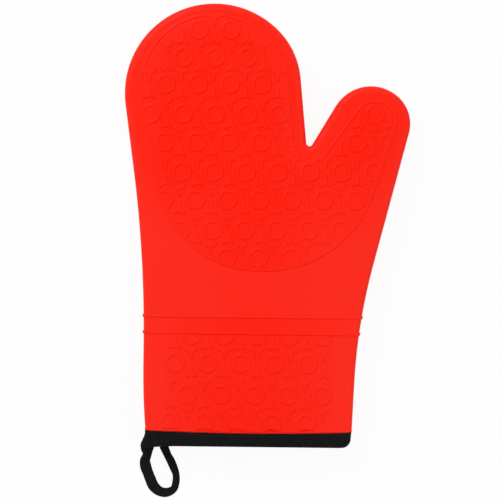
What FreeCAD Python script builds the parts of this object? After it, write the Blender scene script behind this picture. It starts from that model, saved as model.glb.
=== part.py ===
"""Heat resistant oven mitt: moulded silicone shell, quilted liner, bound cuff and hanging loop.

Millimetres and degrees. The mitt lies flat with its back face down and its palm face up.
X runs across the cuff towards the thumb, Y from the cuff's hem to the finger tip, Z up.
The origin is on the resting plane, under the middle of the hem.
"""
import FreeCAD
import Part

import math
import os

import Sketcher

# Each size has its name, its value and what it measures.
SIZES = (
    # outline of the silicone, seen square to the palm
    ("crown_x", -28.5, "centre of the finger pouch's round end, across"),
    ("crown_y", 265.4, "centre of the finger pouch's round end, from the hem"),
    ("crown_radius", 67.0, "round end of the finger pouch"),
    ("shoulder_radius", 58.0, "tighter curve from the round end down towards the thumb"),
    ("shoulder_turn", 44.0, "direction in which the crown hands over to the shoulder"),
    ("pouch_lean", 7.8, "lean of the pouch's outer side"),
    ("waist_radius", 938.0, "long hollow curve down the outer side"),
    ("pouch_flare", 16.1, "how far the pouch's outer side reaches past the cuff's"),
    ("draw_height", 50.0, "length over which the outer side draws in to the hem"),
    ("draw_depth", 3.0, "how far the outer side draws in"),
    ("crotch_offset", 4.4, "centre of the curve between pouch and thumb, out from the pouch's end"),
    ("crotch_y", 228.5, "centre of the curve between pouch and thumb, from the hem"),
    ("crotch_radius", 2.5, "curve between pouch and thumb"),
    ("thumb_x", 88.7, "centre of the thumb's round end, across"),
    ("thumb_y", 241.3, "centre of the thumb's round end, from the hem"),
    ("thumb_radius", 30.4, "round end of the thumb"),
    ("knuckle_radius", 27.0, "curve from the thumb's end to its outer side"),
    ("knuckle_turn", 45.0, "direction in which the thumb's end hands over to that curve"),
    ("thumb_lean", 14.5, "lean of the thumb's outer side"),
    ("wrist_radius", 432.0, "long hollow curve below the thumb"),
    ("cuff_thumb_side", 76.1, "thumb side of the cuff, square from the middle of the hem"),
    ("cuff_lean", 2.5, "lean of the cuff's thumb side"),
    # silicone shell
    ("emboss", 0.8, "how far the wrist ribs and the grip pattern stand off the silicone"),
    ("mitt_thickness", 24.0, "silicone's outside faces, one to the other"),
    ("side_radius", 4.5, "rounding of the sides into both faces"),
    ("silicone", 1.5, "wall of the shell"),
    ("rib_height_on_cuff", 85.2, "middle of the lower wrist rib from the hem"),
    ("rib_pitch", 12.3, "from one wrist rib to the next"),
    ("rib_width", 1.7, "each wrist rib along the cuff"),
    ("cavity_slant", 3.2, "slanted corner of the hollow inside the shell"),
    # quilted liner, from the silicone inwards
    ("ply_gap", 0.2, "slack between plies"),
    ("batting", 2.6, "wadding quilted behind the lining"),
    ("lining", 0.7, "cotton lining"),
    # bound hem
    ("tape", 0.6, "thickness of the binding tape"),
    ("sewing_gap", 0.3, "slack between the tape and what it covers"),
    ("binding_height", 12.0, "tape's outer turn along the cuff"),
    ("binding_turn_in", 10.0, "tape's inner turn along the cuff"),
    # tail of the tape and its loop
    ("tail_stand", 1.4, "how far the tail's fold reaches past the cuff's outer side"),
    ("tail_width", 23.3, "tail across the cuff"),
    ("tail_height", 9.3, "tail along the cuff"),
    ("tail_top_radius", 3.5, "rounding of the tail's upper corner"),
    ("tail_foot_radius", 1.0, "rounding of the tail's lower corner"),
    ("loop_width", 7.8, "flat width of the folded loop tape"),
    ("loop_thickness", 2.0, "folded loop tape, four plies"),
    ("loop_inset", 3.8, "middle of the outer strand, in from the cuff's outer side"),
    ("loop_drop", 23.0, "centre of the loop's bend below the hem"),
    ("loop_bend", 11.0, "bend of the loop's middle line"),
    ("loop_lean", 24.0, "lean of the inner strand back towards the outer one"),
)


class Size:
    """A number and the sheet expression that it comes from, kept in step."""

    def __init__(self, value, text):
        self.value = float(value)
        self.text = text

    @staticmethod
    def of(other):
        return other if isinstance(other, Size) else Size(other, repr(float(other)))

    def __add__(self, other):
        other = Size.of(other)
        return Size(self.value + other.value, f"({self.text} + {other.text})")

    def __sub__(self, other):
        other = Size.of(other)
        return Size(self.value - other.value, f"({self.text} - {other.text})")

    def __mul__(self, other):
        other = Size.of(other)
        return Size(self.value * other.value, f"({self.text} * {other.text})")

    def __truediv__(self, other):
        other = Size.of(other)
        return Size(self.value / other.value, f"({self.text} / {other.text})")

    def __neg__(self):
        return self * -1

    def __rsub__(self, other):
        return Size.of(other) - self

    __radd__ = __add__
    __rmul__ = __mul__


def cosine(angle):
    return Size(math.cos(math.radians(angle.value)), f"cos({angle.text} * 1 deg)")


class Sheet:
    """The spreadsheet of driving dimensions, read as Sheet.name."""

    def __init__(self, doc):
        self.sizes = {}
        sheet = doc.addObject("Spreadsheet::Sheet", "Sizes")
        for row, (name, value, note) in enumerate(SIZES, start=1):
            sheet.set(f"A{row}", name)
            sheet.set(f"B{row}", str(value))
            sheet.setAlias(f"B{row}", name)
            sheet.set(f"C{row}", note)
            self.sizes[name] = Size(value, f"Sizes.{name}")
        doc.recompute()

    def __getattr__(self, name):
        return self.sizes[name]


DOC = FreeCAD.newDocument("oven_mitt")
S = Sheet(DOC)
NOTHING = Size(0, "0")

# Outer side of the cuff, and what is sewn to it, from the middle of the hem.
CUFF_OUTER_SIDE = S.crown_radius - S.crown_x - S.pouch_flare
TAIL_REACH = CUFF_OUTER_SIDE + S.tail_stand
TAIL_END = TAIL_REACH - S.tail_width
LOOP_OUT_X = S.loop_inset - CUFF_OUTER_SIDE

# Lengths closer than this are the same.
CLOSE = 1e-5


def settled(value):
    """A length that a sketch's tangents settle, so that nothing is bound to it."""
    return Size(value, "")


def same(length, size):
    return abs(length - size.value) < CLOSE


def bind(thing, prop, size):
    thing.setExpression(prop, size.text)


# ---------------------------------------------------------------- plane geometry

class Circle:
    """A circle of the outline: convex ones shrink with the inset, hollow ones grow."""

    def __init__(self, x, y, radius, hollow=False):
        self.x, self.y, self.radius, self.hollow = x, y, radius, hollow

    def inset(self, depth):
        radius = self.radius + depth if self.hollow else self.radius - depth
        return Circle(self.x, self.y, radius, self.hollow)

    def centre(self):
        return FreeCAD.Vector(self.x.value, self.y.value, 0)

    def at(self, direction):
        """Point of the circle in a direction given in radians."""
        turn = FreeCAD.Vector(math.cos(direction), math.sin(direction), 0)
        return self.centre() + turn * self.radius.value


def common_tangent(first, second):
    """Ends of the line that leaves one circle and joins the next, going clockwise round the part."""
    span = second.centre() - first.centre()
    signed = [-c.radius.value if c.hollow else c.radius.value for c in (first, second)]
    lean = math.acos((signed[0] - signed[1]) / span.Length)
    outward = math.atan2(span.y, span.x) + lean
    normal = FreeCAD.Vector(math.cos(outward), math.sin(outward), 0)
    return first.centre() + normal * signed[0], second.centre() + normal * signed[1]


def angle_on(circle, point):
    ray = point - circle.centre()
    return math.atan2(ray.y, ray.x)


def crossing(point, along, other, other_along):
    """Where two lines in the plane cross."""
    gap = other - point
    across = along.x * other_along.y - along.y * other_along.x
    return point + along * ((gap.x * other_along.y - gap.y * other_along.x) / across)


class Chain:
    """A run of lines and arcs in a sketch, held by named constraints."""

    def __init__(self, sketch, label):
        self.sketch, self.label = sketch, label
        self.ends = []

    def line(self, start, end):
        index = self.sketch.addGeometry(Part.LineSegment(start, end))
        self.ends.append((index, 1, 2))
        return index

    def arc(self, circle, start, end):
        first, last = angle_on(circle, start), angle_on(circle, end)
        head, tail = 1, 2
        if not circle.hollow:
            first, last, head, tail = last, first, 2, 1
        if last <= first:
            last += 2 * math.pi
        round_part = Part.Circle(circle.centre(), FreeCAD.Vector(0, 0, 1), circle.radius.value)
        index = self.sketch.addGeometry(Part.ArcOfCircle(round_part, first, last))
        self.ends.append((index, head, tail))
        return index

    def join(self, corners=(), closed=False):
        """Joins each piece to the next: smoothly, or as a corner after the pieces named."""
        following = self.ends[1:] + (self.ends[:1] if closed else [])
        for (index, _, tail), (after, head, _) in zip(self.ends, following):
            kind = "Coincident" if index in corners else "Tangent"
            self.sketch.addConstraint(Sketcher.Constraint(kind, index, tail, after, head))

    def hold(self, name, size, kind, *where, angle=False):
        """Adds a dimension that follows the sheet."""
        value = math.radians(size.value) if angle else size.value
        made = self.sketch.addConstraint(Sketcher.Constraint(kind, *where, value))
        name = f"{self.label}_{name}"
        self.sketch.renameConstraint(made, name)
        bind(self.sketch, f"Constraints.{name}", size)

    def hold_centre(self, name, index, circle):
        self.hold(name + "_x", circle.x, "DistanceX", -1, 1, index, 3)
        self.hold(name + "_y", circle.y, "DistanceY", -1, 1, index, 3)

    def hold_radius(self, name, index, circle):
        self.hold(name + "_radius", circle.radius, "Radius", index)

    def hold_angle(self, name, index, size):
        self.hold(name + "_angle", size, "Angle", -1, 1, index, 1, angle=True)


def new_sketch(body, name, role="XY_Plane"):
    sketch = body.newObject("Sketcher::SketchObject", name)
    plane = [item for item in body.Origin.OriginFeatures if item.Role == role][0]
    sketch.AttachmentSupport = [(plane, "")]
    sketch.MapMode = "FlatFace"
    return sketch


def draw_corners(chain, corners):
    """Closes a chain of straight lines through corners, each held by its two distances."""
    places = [FreeCAD.Vector(x.value, y.value, 0) for x, y in corners]
    lines = [chain.line(start, places[(number + 1) % len(places)])
             for number, start in enumerate(places)]
    chain.join(corners=lines, closed=True)
    for number, (x, y) in enumerate(corners):
        chain.hold(f"corner_{number}_x", x, "DistanceX", -1, 1, lines[number], 1)
        chain.hold(f"corner_{number}_y", y, "DistanceY", -1, 1, lines[number], 1)


# ---------------------------------------------------------------- outlines

def mitt_circles(depth):
    """The round stretches of the mitt's outline, at a depth inside the silicone's outer face."""
    crown = Circle(S.crown_x, S.crown_y, S.crown_radius)
    turn = math.radians(S.shoulder_turn.value)
    shift = S.crown_radius - S.shoulder_radius
    shoulder = Circle(S.crown_x + shift * cosine(S.shoulder_turn),
                      settled(crown.centre().y + shift.value * math.sin(turn)), S.shoulder_radius)
    crotch = Circle(S.crown_x + S.crown_radius + S.crotch_offset, S.crotch_y, S.crotch_radius,
                    hollow=True)
    thumb = Circle(S.thumb_x, S.thumb_y, S.thumb_radius)
    bend = math.radians(S.knuckle_turn.value)
    slip = S.thumb_radius - S.knuckle_radius
    knuckle = Circle(S.thumb_x + slip * cosine(S.knuckle_turn),
                     settled(thumb.centre().y + slip.value * math.sin(bend)), S.knuckle_radius)
    return [circle.inset(depth) for circle in (crown, shoulder, crotch, thumb, knuckle)]


def draw_mitt(body, name, depth, hem):
    """Sketch of the mitt's outline at a depth inside the silicone, cut off square at the hem."""
    sketch = new_sketch(body, name)
    chain = Chain(sketch, "mitt")
    crown, shoulder, crotch, thumb, knuckle = mitt_circles(depth)
    up = FreeCAD.Vector(0, 1, 0)

    # outer side: draws in to the hem, runs straight up the cuff, hollows at the waist, leans out
    side_x = -(CUFF_OUTER_SIDE - depth)
    lean = math.radians(S.pouch_lean.value)
    along_side = FreeCAD.Vector(-math.sin(lean), math.cos(lean), 0)
    side_end = crown.at(math.pi + lean)
    apex = crossing(FreeCAD.Vector(side_x.value, 0, 0), up, side_end, along_side)
    waist_size = S.waist_radius + depth
    reach = waist_size.value * math.tan(lean / 2)
    waist_low, waist_high = apex - up * reach, apex + along_side * reach
    waist = Circle(side_x - waist_size, settled(waist_low.y), waist_size, hollow=True)
    draw_radius = ((S.draw_height * S.draw_height + S.draw_depth * S.draw_depth) / (S.draw_depth * 2)
                   - depth)
    draw = Circle(side_x + draw_radius, S.draw_height, draw_radius)
    draw_top = FreeCAD.Vector(side_x.value, S.draw_height.value, 0)
    fall = S.draw_height.value - hem.value
    hem_outer = FreeCAD.Vector(draw.x.value - math.sqrt(draw_radius.value ** 2 - fall ** 2),
                               hem.value, 0)

    # thumb side: leans in from the thumb, hollows at the wrist, runs straight down the cuff
    thumb_lean = math.radians(S.thumb_lean.value)
    cuff_lean = math.radians(S.cuff_lean.value)
    thumb_out = knuckle.at(-thumb_lean)
    down_thumb = FreeCAD.Vector(-math.sin(thumb_lean), -math.cos(thumb_lean), 0)
    down_cuff = FreeCAD.Vector(-math.sin(cuff_lean), -math.cos(cuff_lean), 0)
    off_cuff = FreeCAD.Vector(math.cos(cuff_lean), -math.sin(cuff_lean), 0)
    cuff_size = S.cuff_thumb_side - depth
    corner = crossing(thumb_out, down_thumb, off_cuff * cuff_size.value, down_cuff)
    wrist_size = S.wrist_radius + depth
    reach = wrist_size.value * math.tan((thumb_lean - cuff_lean) / 2)
    wrist_high, wrist_low = corner - down_thumb * reach, corner + down_cuff * reach
    wrist_centre = wrist_low + off_cuff * wrist_size.value
    wrist = Circle(settled(wrist_centre.x), settled(wrist_centre.y), wrist_size, hollow=True)
    hem_thumb = crossing(off_cuff * cuff_size.value, down_cuff,
                         FreeCAD.Vector(0, hem.value, 0), FreeCAD.Vector(1, 0, 0))

    shoulder_start = crown.at(math.radians(S.shoulder_turn.value))
    knuckle_start = thumb.at(math.radians(S.knuckle_turn.value))
    inner_high, inner_low = common_tangent(shoulder, crotch)
    web_low, web_high = common_tangent(crotch, thumb)

    hem_line = chain.line(hem_thumb, hem_outer)
    draw_arc = chain.arc(draw, hem_outer, draw_top)
    side_line = chain.line(draw_top, waist_low)
    waist_arc = chain.arc(waist, waist_low, waist_high)
    pouch_line = chain.line(waist_high, side_end)
    crown_arc = chain.arc(crown, side_end, shoulder_start)
    shoulder_arc = chain.arc(shoulder, shoulder_start, inner_high)
    chain.line(inner_high, inner_low)
    crotch_arc = chain.arc(crotch, inner_low, web_low)
    chain.line(web_low, web_high)
    thumb_arc = chain.arc(thumb, web_high, knuckle_start)
    knuckle_arc = chain.arc(knuckle, knuckle_start, thumb_out)
    thumb_line = chain.line(thumb_out, wrist_high)
    wrist_arc = chain.arc(wrist, wrist_high, wrist_low)
    cuff_line = chain.line(wrist_low, hem_thumb)
    chain.join(corners=(hem_line, cuff_line), closed=True)

    sketch.addConstraint(Sketcher.Constraint("Horizontal", hem_line))
    chain.hold("hem", hem, "DistanceY", -1, 1, hem_line, 1)
    chain.hold("draw_y", S.draw_height, "DistanceY", -1, 1, draw_arc, 3)
    chain.hold_radius("draw", draw_arc, draw)
    sketch.addConstraint(Sketcher.Constraint("Vertical", side_line))
    chain.hold("side_x", side_x, "DistanceX", -1, 1, side_line, 1)
    chain.hold_radius("waist", waist_arc, waist)
    chain.hold_angle("pouch", pouch_line, 90 + S.pouch_lean)
    chain.hold_centre("crown", crown_arc, crown)
    chain.hold_radius("crown", crown_arc, crown)
    chain.hold("shoulder_x", shoulder.x, "DistanceX", -1, 1, shoulder_arc, 3)
    chain.hold_radius("shoulder", shoulder_arc, shoulder)
    chain.hold_centre("crotch", crotch_arc, crotch)
    chain.hold_radius("crotch", crotch_arc, crotch)
    chain.hold_centre("thumb", thumb_arc, thumb)
    chain.hold_radius("thumb", thumb_arc, thumb)
    chain.hold("knuckle_x", knuckle.x, "DistanceX", -1, 1, knuckle_arc, 3)
    chain.hold_radius("knuckle", knuckle_arc, knuckle)
    chain.hold_angle("thumb", thumb_line, -90 - S.thumb_lean)
    chain.hold_radius("wrist", wrist_arc, wrist)
    chain.hold_angle("cuff", cuff_line, -90 - S.cuff_lean)
    chain.hold("cuff_offset", cuff_size, "Distance", -1, 1, cuff_line)
    return sketch


# ---------------------------------------------------------------- solids

def pad(body, sketch, low, high):
    """Pads a sketch on the body's base plane from one height to another."""
    bind(sketch, "AttachmentOffset.Base.z", low)
    feature = body.newObject("PartDesign::Pad", sketch.Name + "_pad")
    feature.Profile = sketch
    bind(feature, "Length", high - low)
    DOC.recompute()
    return feature


def rim_edges(shape, heights, hem):
    """Names of the edges that run round a flat outline at the given heights, without the hem's."""
    found = []
    for number, edge in enumerate(shape.Edges, start=1):
        ends = [vertex.Point for vertex in edge.Vertexes]
        level = any(all(same(end.z, height) for end in ends) for height in heights)
        on_hem = all(same(end.y, hem) for end in ends)
        if level and not on_hem:
            found.append(f"Edge{number}")
    return found


def face_at(shape, axis, value):
    """Name of the flat face square to an axis at a value."""
    for number, face in enumerate(shape.Faces, start=1):
        reach = [getattr(face.BoundBox, axis + end) for end in ("Min", "Max")]
        if all(same(place, value) for place in reach):
            return f"Face{number}"
    raise ValueError(f"no face square to {axis} at {value.value}")


def edge_feature(body, kind, prop, base, edges, size, name):
    feature = body.newObject(f"PartDesign::{kind}", name)
    feature.Base = (base, edges)
    bind(feature, prop, size)
    DOC.recompute()
    return feature


BOTTOM = S.emboss
TOP = S.emboss + S.mitt_thickness
MIDDLE = S.emboss + S.mitt_thickness / 2


# A slanted corner that touches a rounding has this share of the rounding's radius, and one whose
# faces all move inwards loses this share of the move.
SLANT_SHARE = 2 - math.sqrt(2)
QUILT_DEPTH = S.silicone + S.ply_gap
QUILT_HEM = S.tape + S.sewing_gap


def outer_slant(depth):
    """Size of the slanted corner that touches the shell's rounded side at a depth."""
    return (S.side_radius - depth) * SLANT_SHARE


def inner_slant(depth):
    """Size of the slanted corner that lies parallel to the cavity's at a depth."""
    return S.cavity_slant - (depth - S.silicone) * SLANT_SHARE


def whole_mitt(name, depth, hem, rounding=None, slant=None):
    """Whole mitt at a depth inside the silicone, its sides square, rounded or slanted."""
    body = DOC.addObject("PartDesign::Body", name)
    low, high = BOTTOM + depth, TOP - depth
    block = pad(body, draw_mitt(body, name + "_outline", depth, hem), low, high)
    rims = rim_edges(block.Shape, (low, high), hem)
    if rounding:
        edge_feature(body, "Fillet", "Radius", block, rims, rounding, name + "_rounding")
    if slant:
        edge_feature(body, "Chamfer", "Size", block, rims, slant, name + "_slant")
    return body


def quilt_ply(name, depth, thickness, palm, slanted):
    """One ply of the quilt: a half tray against the palm's or the back's inside."""
    body = DOC.addObject("PartDesign::Body", name)
    body.Label = name
    half_gap = S.ply_gap / 2
    if palm:
        low, high = MIDDLE + half_gap, TOP - depth
        seam, face = low, high
    else:
        low, high = BOTTOM + depth, MIDDLE - half_gap
        seam, face = high, low
    base = pad(body, draw_mitt(body, name + "_outline", depth, QUILT_HEM), low, high)
    tray = body.newObject("PartDesign::Thickness", name + "_tray")
    tray.Base = (base, [face_at(base.Shape, "Z", seam), face_at(base.Shape, "Y", QUILT_HEM)])
    tray.Join = "Intersection"
    tray.Reversed = True
    bind(tray, "Value", thickness)
    DOC.recompute()
    if slanted:
        edge_feature(body, "Chamfer", "Size", tray, rim_edges(tray.Shape, (face,), QUILT_HEM),
                     inner_slant(depth), name + "_slant")
    return body


def join(kind, name, *parts):
    """A Part boolean of the given objects."""
    result = DOC.addObject(f"Part::{kind}", name)
    result.Label = name
    if kind in ("MultiFuse", "MultiCommon"):
        result.Shapes = list(parts)
    else:
        result.Base, result.Tool = parts
    DOC.recompute()
    return result


def block(name, low, high):
    """A box between two corners."""
    box = DOC.addObject("Part::Box", name)
    for place, prop, start, end in zip("xyz", ("Length", "Width", "Height"), low, high):
        bind(box, f"Placement.Base.{place}", start)
        bind(box, prop, end - start)
    DOC.recompute()
    return box


# Half-width of blocks that only have to cover the mitt from side to side.
ACROSS = CUFF_OUTER_SIDE + S.cuff_thumb_side

WRIST_RIBS = 2


def slice_of(name, start, end):
    """A box across the whole cuff between two heights from the hem."""
    return block(name, (-ACROSS, start, NOTHING - S.emboss),
                 (ACROSS, end, TOP + S.emboss * 2))


def silicone_shell():
    """One-piece moulding: open cuff, ribbed wrist, thin flange under the binding."""
    flange_depth = S.tape + S.sewing_gap
    skin = whole_mitt("shell_skin", NOTHING, S.binding_height + S.sewing_gap,
                      rounding=S.side_radius)
    flange = whole_mitt("shell_flange", flange_depth, QUILT_HEM, slant=outer_slant(flange_depth))
    cavity = whole_mitt("shell_cavity", S.silicone, NOTHING, slant=inner_slant(S.silicone))
    proud = whole_mitt("shell_rib_limit", -S.emboss, NOTHING, slant=outer_slant(-S.emboss))

    bands = []
    for number in range(WRIST_RIBS):
        middle = S.rib_height_on_cuff + S.rib_pitch * number
        bands.append(slice_of(f"rib_band_{number + 1}", middle - S.rib_width / 2,
                              middle + S.rib_width / 2))
    ribs = join("Common", "wrist_ribs", proud, join("MultiFuse", "rib_bands", *bands))

    solid = join("MultiFuse", "shell_solid", skin, flange, ribs)
    return join("Cut", "silicone_shell", solid, cavity)


def quilt():
    """Two plies in each half: wadding against the silicone, lining against the hand."""
    plies = []
    for side, palm in (("palm", True), ("back", False)):
        depth = QUILT_DEPTH
        plies.append(quilt_ply(f"{side}_batting", depth, S.batting, palm, slanted=True))
        depth = depth + S.batting + S.ply_gap
        plies.append(quilt_ply(f"{side}_lining", depth, S.lining, palm, slanted=False))
    return plies


def cuff_binding():
    """Tape folded over the hem: outer turn on the silicone flange, inner turn on the lining."""
    inner_depth = QUILT_DEPTH + S.batting + S.ply_gap + S.lining + S.sewing_gap
    outside = whole_mitt("binding_outside", NOTHING, NOTHING, slant=outer_slant(NOTHING))
    under_outer_turn = whole_mitt("binding_under_outer_turn", S.tape, S.tape,
                                  slant=outer_slant(S.tape))
    over_inner_turn = whole_mitt("binding_over_inner_turn", inner_depth, NOTHING)
    mouth = whole_mitt("binding_mouth", inner_depth + S.tape, -S.tape)

    outer_part = join("Common", "binding_outer_part", outside,
                      slice_of("binding_outer_slice", NOTHING, S.binding_height))
    outer_turn = join("Cut", "binding_outer_turn", outer_part, under_outer_turn)
    inner_turn = join("Common", "binding_inner_turn", over_inner_turn,
                      slice_of("binding_inner_slice", NOTHING, S.binding_turn_in))
    turns = join("MultiFuse", "binding_turns", outer_turn, inner_turn)
    return join("Cut", "cuff_binding", turns, mouth)


def loop_tail():
    """The tape's tail, folded round the cuff's outer corner over the binding."""
    body = DOC.addObject("PartDesign::Body", "tail_block")
    sketch = new_sketch(body, "tail_block_outline")
    corners = [(-TAIL_REACH, NOTHING), (-TAIL_REACH, S.tail_height),
               (-TAIL_END, S.tail_height), (-TAIL_END, NOTHING)]
    chain = Chain(sketch, "tail")
    draw_corners(chain, corners)
    high = TOP + S.emboss
    solid = pad(body, sketch, NOTHING, high)
    feature = solid
    for name, height, radius in (("top", high, S.tail_top_radius),
                                 ("foot", NOTHING, S.tail_foot_radius)):
        edges = [f"Edge{number}" for number, edge in enumerate(feature.Shape.Edges, start=1)
                 if same(edge.BoundBox.XMax, -TAIL_REACH)
                 and same(edge.BoundBox.ZMin, height)
                 and same(edge.BoundBox.ZMax, height)]
        feature = edge_feature(body, "Fillet", "Radius", feature, edges, radius, f"tail_{name}")
    cleared = whole_mitt("tail_clearance", -S.sewing_gap, -S.sewing_gap,
                         slant=outer_slant(-S.sewing_gap))
    return join("Cut", "loop_tail", body, cleared)


def draw_loop_path(sketch, run_on):
    """Middle line of the loop: straight down, round the bend, and back up at a lean."""
    chain = Chain(sketch, "loop")
    bend = Circle(LOOP_OUT_X + S.loop_bend, -S.loop_drop, S.loop_bend, hollow=True)
    lean = math.radians(S.loop_lean.value)
    down = FreeCAD.Vector(0, -1, 0)
    up = FreeCAD.Vector(-math.sin(lean), math.cos(lean), 0)
    top = FreeCAD.Vector(LOOP_OUT_X.value, run_on.value, 0)
    bend_start, bend_end = bend.at(math.pi), bend.at(lean)
    strand_end = crossing(bend_end, up, FreeCAD.Vector(0, run_on.value, 0), FreeCAD.Vector(1, 0, 0))
    outer = chain.line(top, top + down * (run_on.value + S.loop_drop.value))
    arc = chain.arc(bend, bend_start, bend_end)
    inner = chain.line(bend_end, strand_end)
    chain.join()
    sketch.addConstraint(Sketcher.Constraint("Vertical", outer))
    chain.hold("outer_x", LOOP_OUT_X, "DistanceX", -1, 1, outer, 1)
    chain.hold("outer_top", run_on, "DistanceY", -1, 1, outer, 1)
    chain.hold("bend_y", -S.loop_drop, "DistanceY", -1, 1, arc, 3)
    chain.hold_radius("bend", arc, bend)
    chain.hold_angle("inner", inner, 90 + S.loop_lean)
    chain.hold("inner_top", run_on, "DistanceY", -1, 1, inner, 2)


def hanging_loop():
    """Flat loop of folded tape, its ends rolled about the line on which it swings."""
    half = S.loop_thickness / 2
    pivot_y = -(half + S.sewing_gap)
    run_on = S.loop_width
    body = DOC.addObject("PartDesign::Body", "loop_band")
    path = new_sketch(body, "loop_path")
    bind(path, "AttachmentOffset.Base.z", half)
    draw_loop_path(path, run_on)

    section = new_sketch(body, "loop_section", "XZ_Plane")
    bind(section, "AttachmentOffset.Base.z", -run_on)
    left, right = LOOP_OUT_X - S.loop_width / 2, LOOP_OUT_X + S.loop_width / 2
    draw_corners(Chain(section, "section"), [(left, NOTHING), (left, S.loop_thickness),
                                             (right, S.loop_thickness), (right, NOTHING)])
    DOC.recompute()
    band = body.newObject("PartDesign::AdditivePipe", "loop_sweep")
    band.Profile = section
    band.Spine = (path, [])
    DOC.recompute()

    beyond = block("loop_beyond", (-ACROSS, pivot_y, -S.loop_thickness),
                   (NOTHING, run_on * 2, S.loop_thickness * 2))
    roll = DOC.addObject("Part::Cylinder", "loop_roll")
    roll.Placement.Rotation = FreeCAD.Rotation(FreeCAD.Vector(0, 1, 0), 90)
    for prop, size in (("Placement.Base.x", -ACROSS), ("Placement.Base.y", pivot_y),
                       ("Placement.Base.z", half), ("Radius", half), ("Height", ACROSS)):
        bind(roll, prop, size)
    DOC.recompute()
    strands = join("Cut", "loop_strands", body, beyond)
    rolled_ends = join("MultiCommon", "loop_rolled_ends", roll, body)
    return join("MultiFuse", "hanging_loop", strands, rolled_ends)


def check(things):
    """Stops the build where an object failed or a piece isn't a valid solid."""
    for item in DOC.Objects:
        if {"Invalid", "Error"} & set(item.State):
            raise ValueError(f"{item.Name} failed: {item.State}")
    for item in things:
        if item.Shape.isNull() or not item.Shape.isValid() or not item.Shape.Solids:
            raise ValueError(f"{item.Name} is not a valid solid")


def main():
    pieces = [silicone_shell(), *quilt(), cuff_binding(), loop_tail(), hanging_loop()]
    DOC.recompute()
    check(pieces)
    os.makedirs("parts", exist_ok=True)
    for piece in pieces:
        piece.Shape.exportStep(f"parts/{piece.Label}.step")


main()
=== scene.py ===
"""Heat resistant oven mitt: moulded silicone shell, quilted liner, bound hem and hanging loop.

Metres, in the frame's own axes: X across the cuff towards the thumb, Y from the hem to the
finger tip, Z up out of the palm. The mitt lies on its back face, and the floor is at zero.
"""

import math

import bmesh
import bpy
from bpy.props import FloatProperty, FloatVectorProperty, PointerProperty
from mathutils import Matrix, Vector, kdtree, noise
from mathutils.geometry import delaunay_2d_cdt


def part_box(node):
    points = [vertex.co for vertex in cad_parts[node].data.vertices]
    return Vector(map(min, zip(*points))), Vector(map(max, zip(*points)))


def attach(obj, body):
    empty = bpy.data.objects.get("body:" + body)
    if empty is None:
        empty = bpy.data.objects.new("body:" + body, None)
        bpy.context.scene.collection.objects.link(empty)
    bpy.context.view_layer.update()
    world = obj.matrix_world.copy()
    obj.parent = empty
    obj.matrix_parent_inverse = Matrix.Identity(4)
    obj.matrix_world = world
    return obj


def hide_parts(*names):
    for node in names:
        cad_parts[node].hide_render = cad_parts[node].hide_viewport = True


bl_info = {
    "name": "Oven Mitt",
    "version": (1, 0, 0),
    "blender": (4, 5, 0),
    "location": "3D View > Sidebar > Oven Mitt",
    "description": "Models a silicone oven mitt with a liner, a bound hem and a hanging loop",
    "category": "Add Mesh",
}

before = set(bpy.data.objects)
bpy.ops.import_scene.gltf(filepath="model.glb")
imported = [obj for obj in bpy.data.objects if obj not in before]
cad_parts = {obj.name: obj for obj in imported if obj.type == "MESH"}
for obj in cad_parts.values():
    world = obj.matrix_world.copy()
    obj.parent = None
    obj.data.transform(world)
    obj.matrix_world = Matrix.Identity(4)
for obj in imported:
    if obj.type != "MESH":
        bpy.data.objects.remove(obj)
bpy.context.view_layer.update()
MILLIMETRE = 0.001
CLOSE = MILLIMETRE / 100

# Heights come from the frame: the ribs reach both ends of the shell's box.
SHELL_LOW, SHELL_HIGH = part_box("silicone_shell")
MIDDLE = (SHELL_LOW.z + SHELL_HIGH.z) / 2


# ---------------------------------------------------------------- sizes and colours

def size(name, millimetres, description):
    """A length that a user may change."""
    return FloatProperty(name=name, description=description, default=millimetres * MILLIMETRE,
                         unit="LENGTH", precision=5)


def lean(name, degrees, description):
    """An angle that a user may change."""
    return FloatProperty(name=name, description=description, default=math.radians(degrees),
                         subtype="ANGLE")


def level(name, value, description):
    """A plain number that a user may change."""
    return FloatProperty(name=name, description=description, default=value)


def colour(name, value, description):
    """A colour that a user may change."""
    return FloatVectorProperty(name=name, description=description, default=value, size=3,
                               min=0, max=1, subtype="COLOR")


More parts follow.
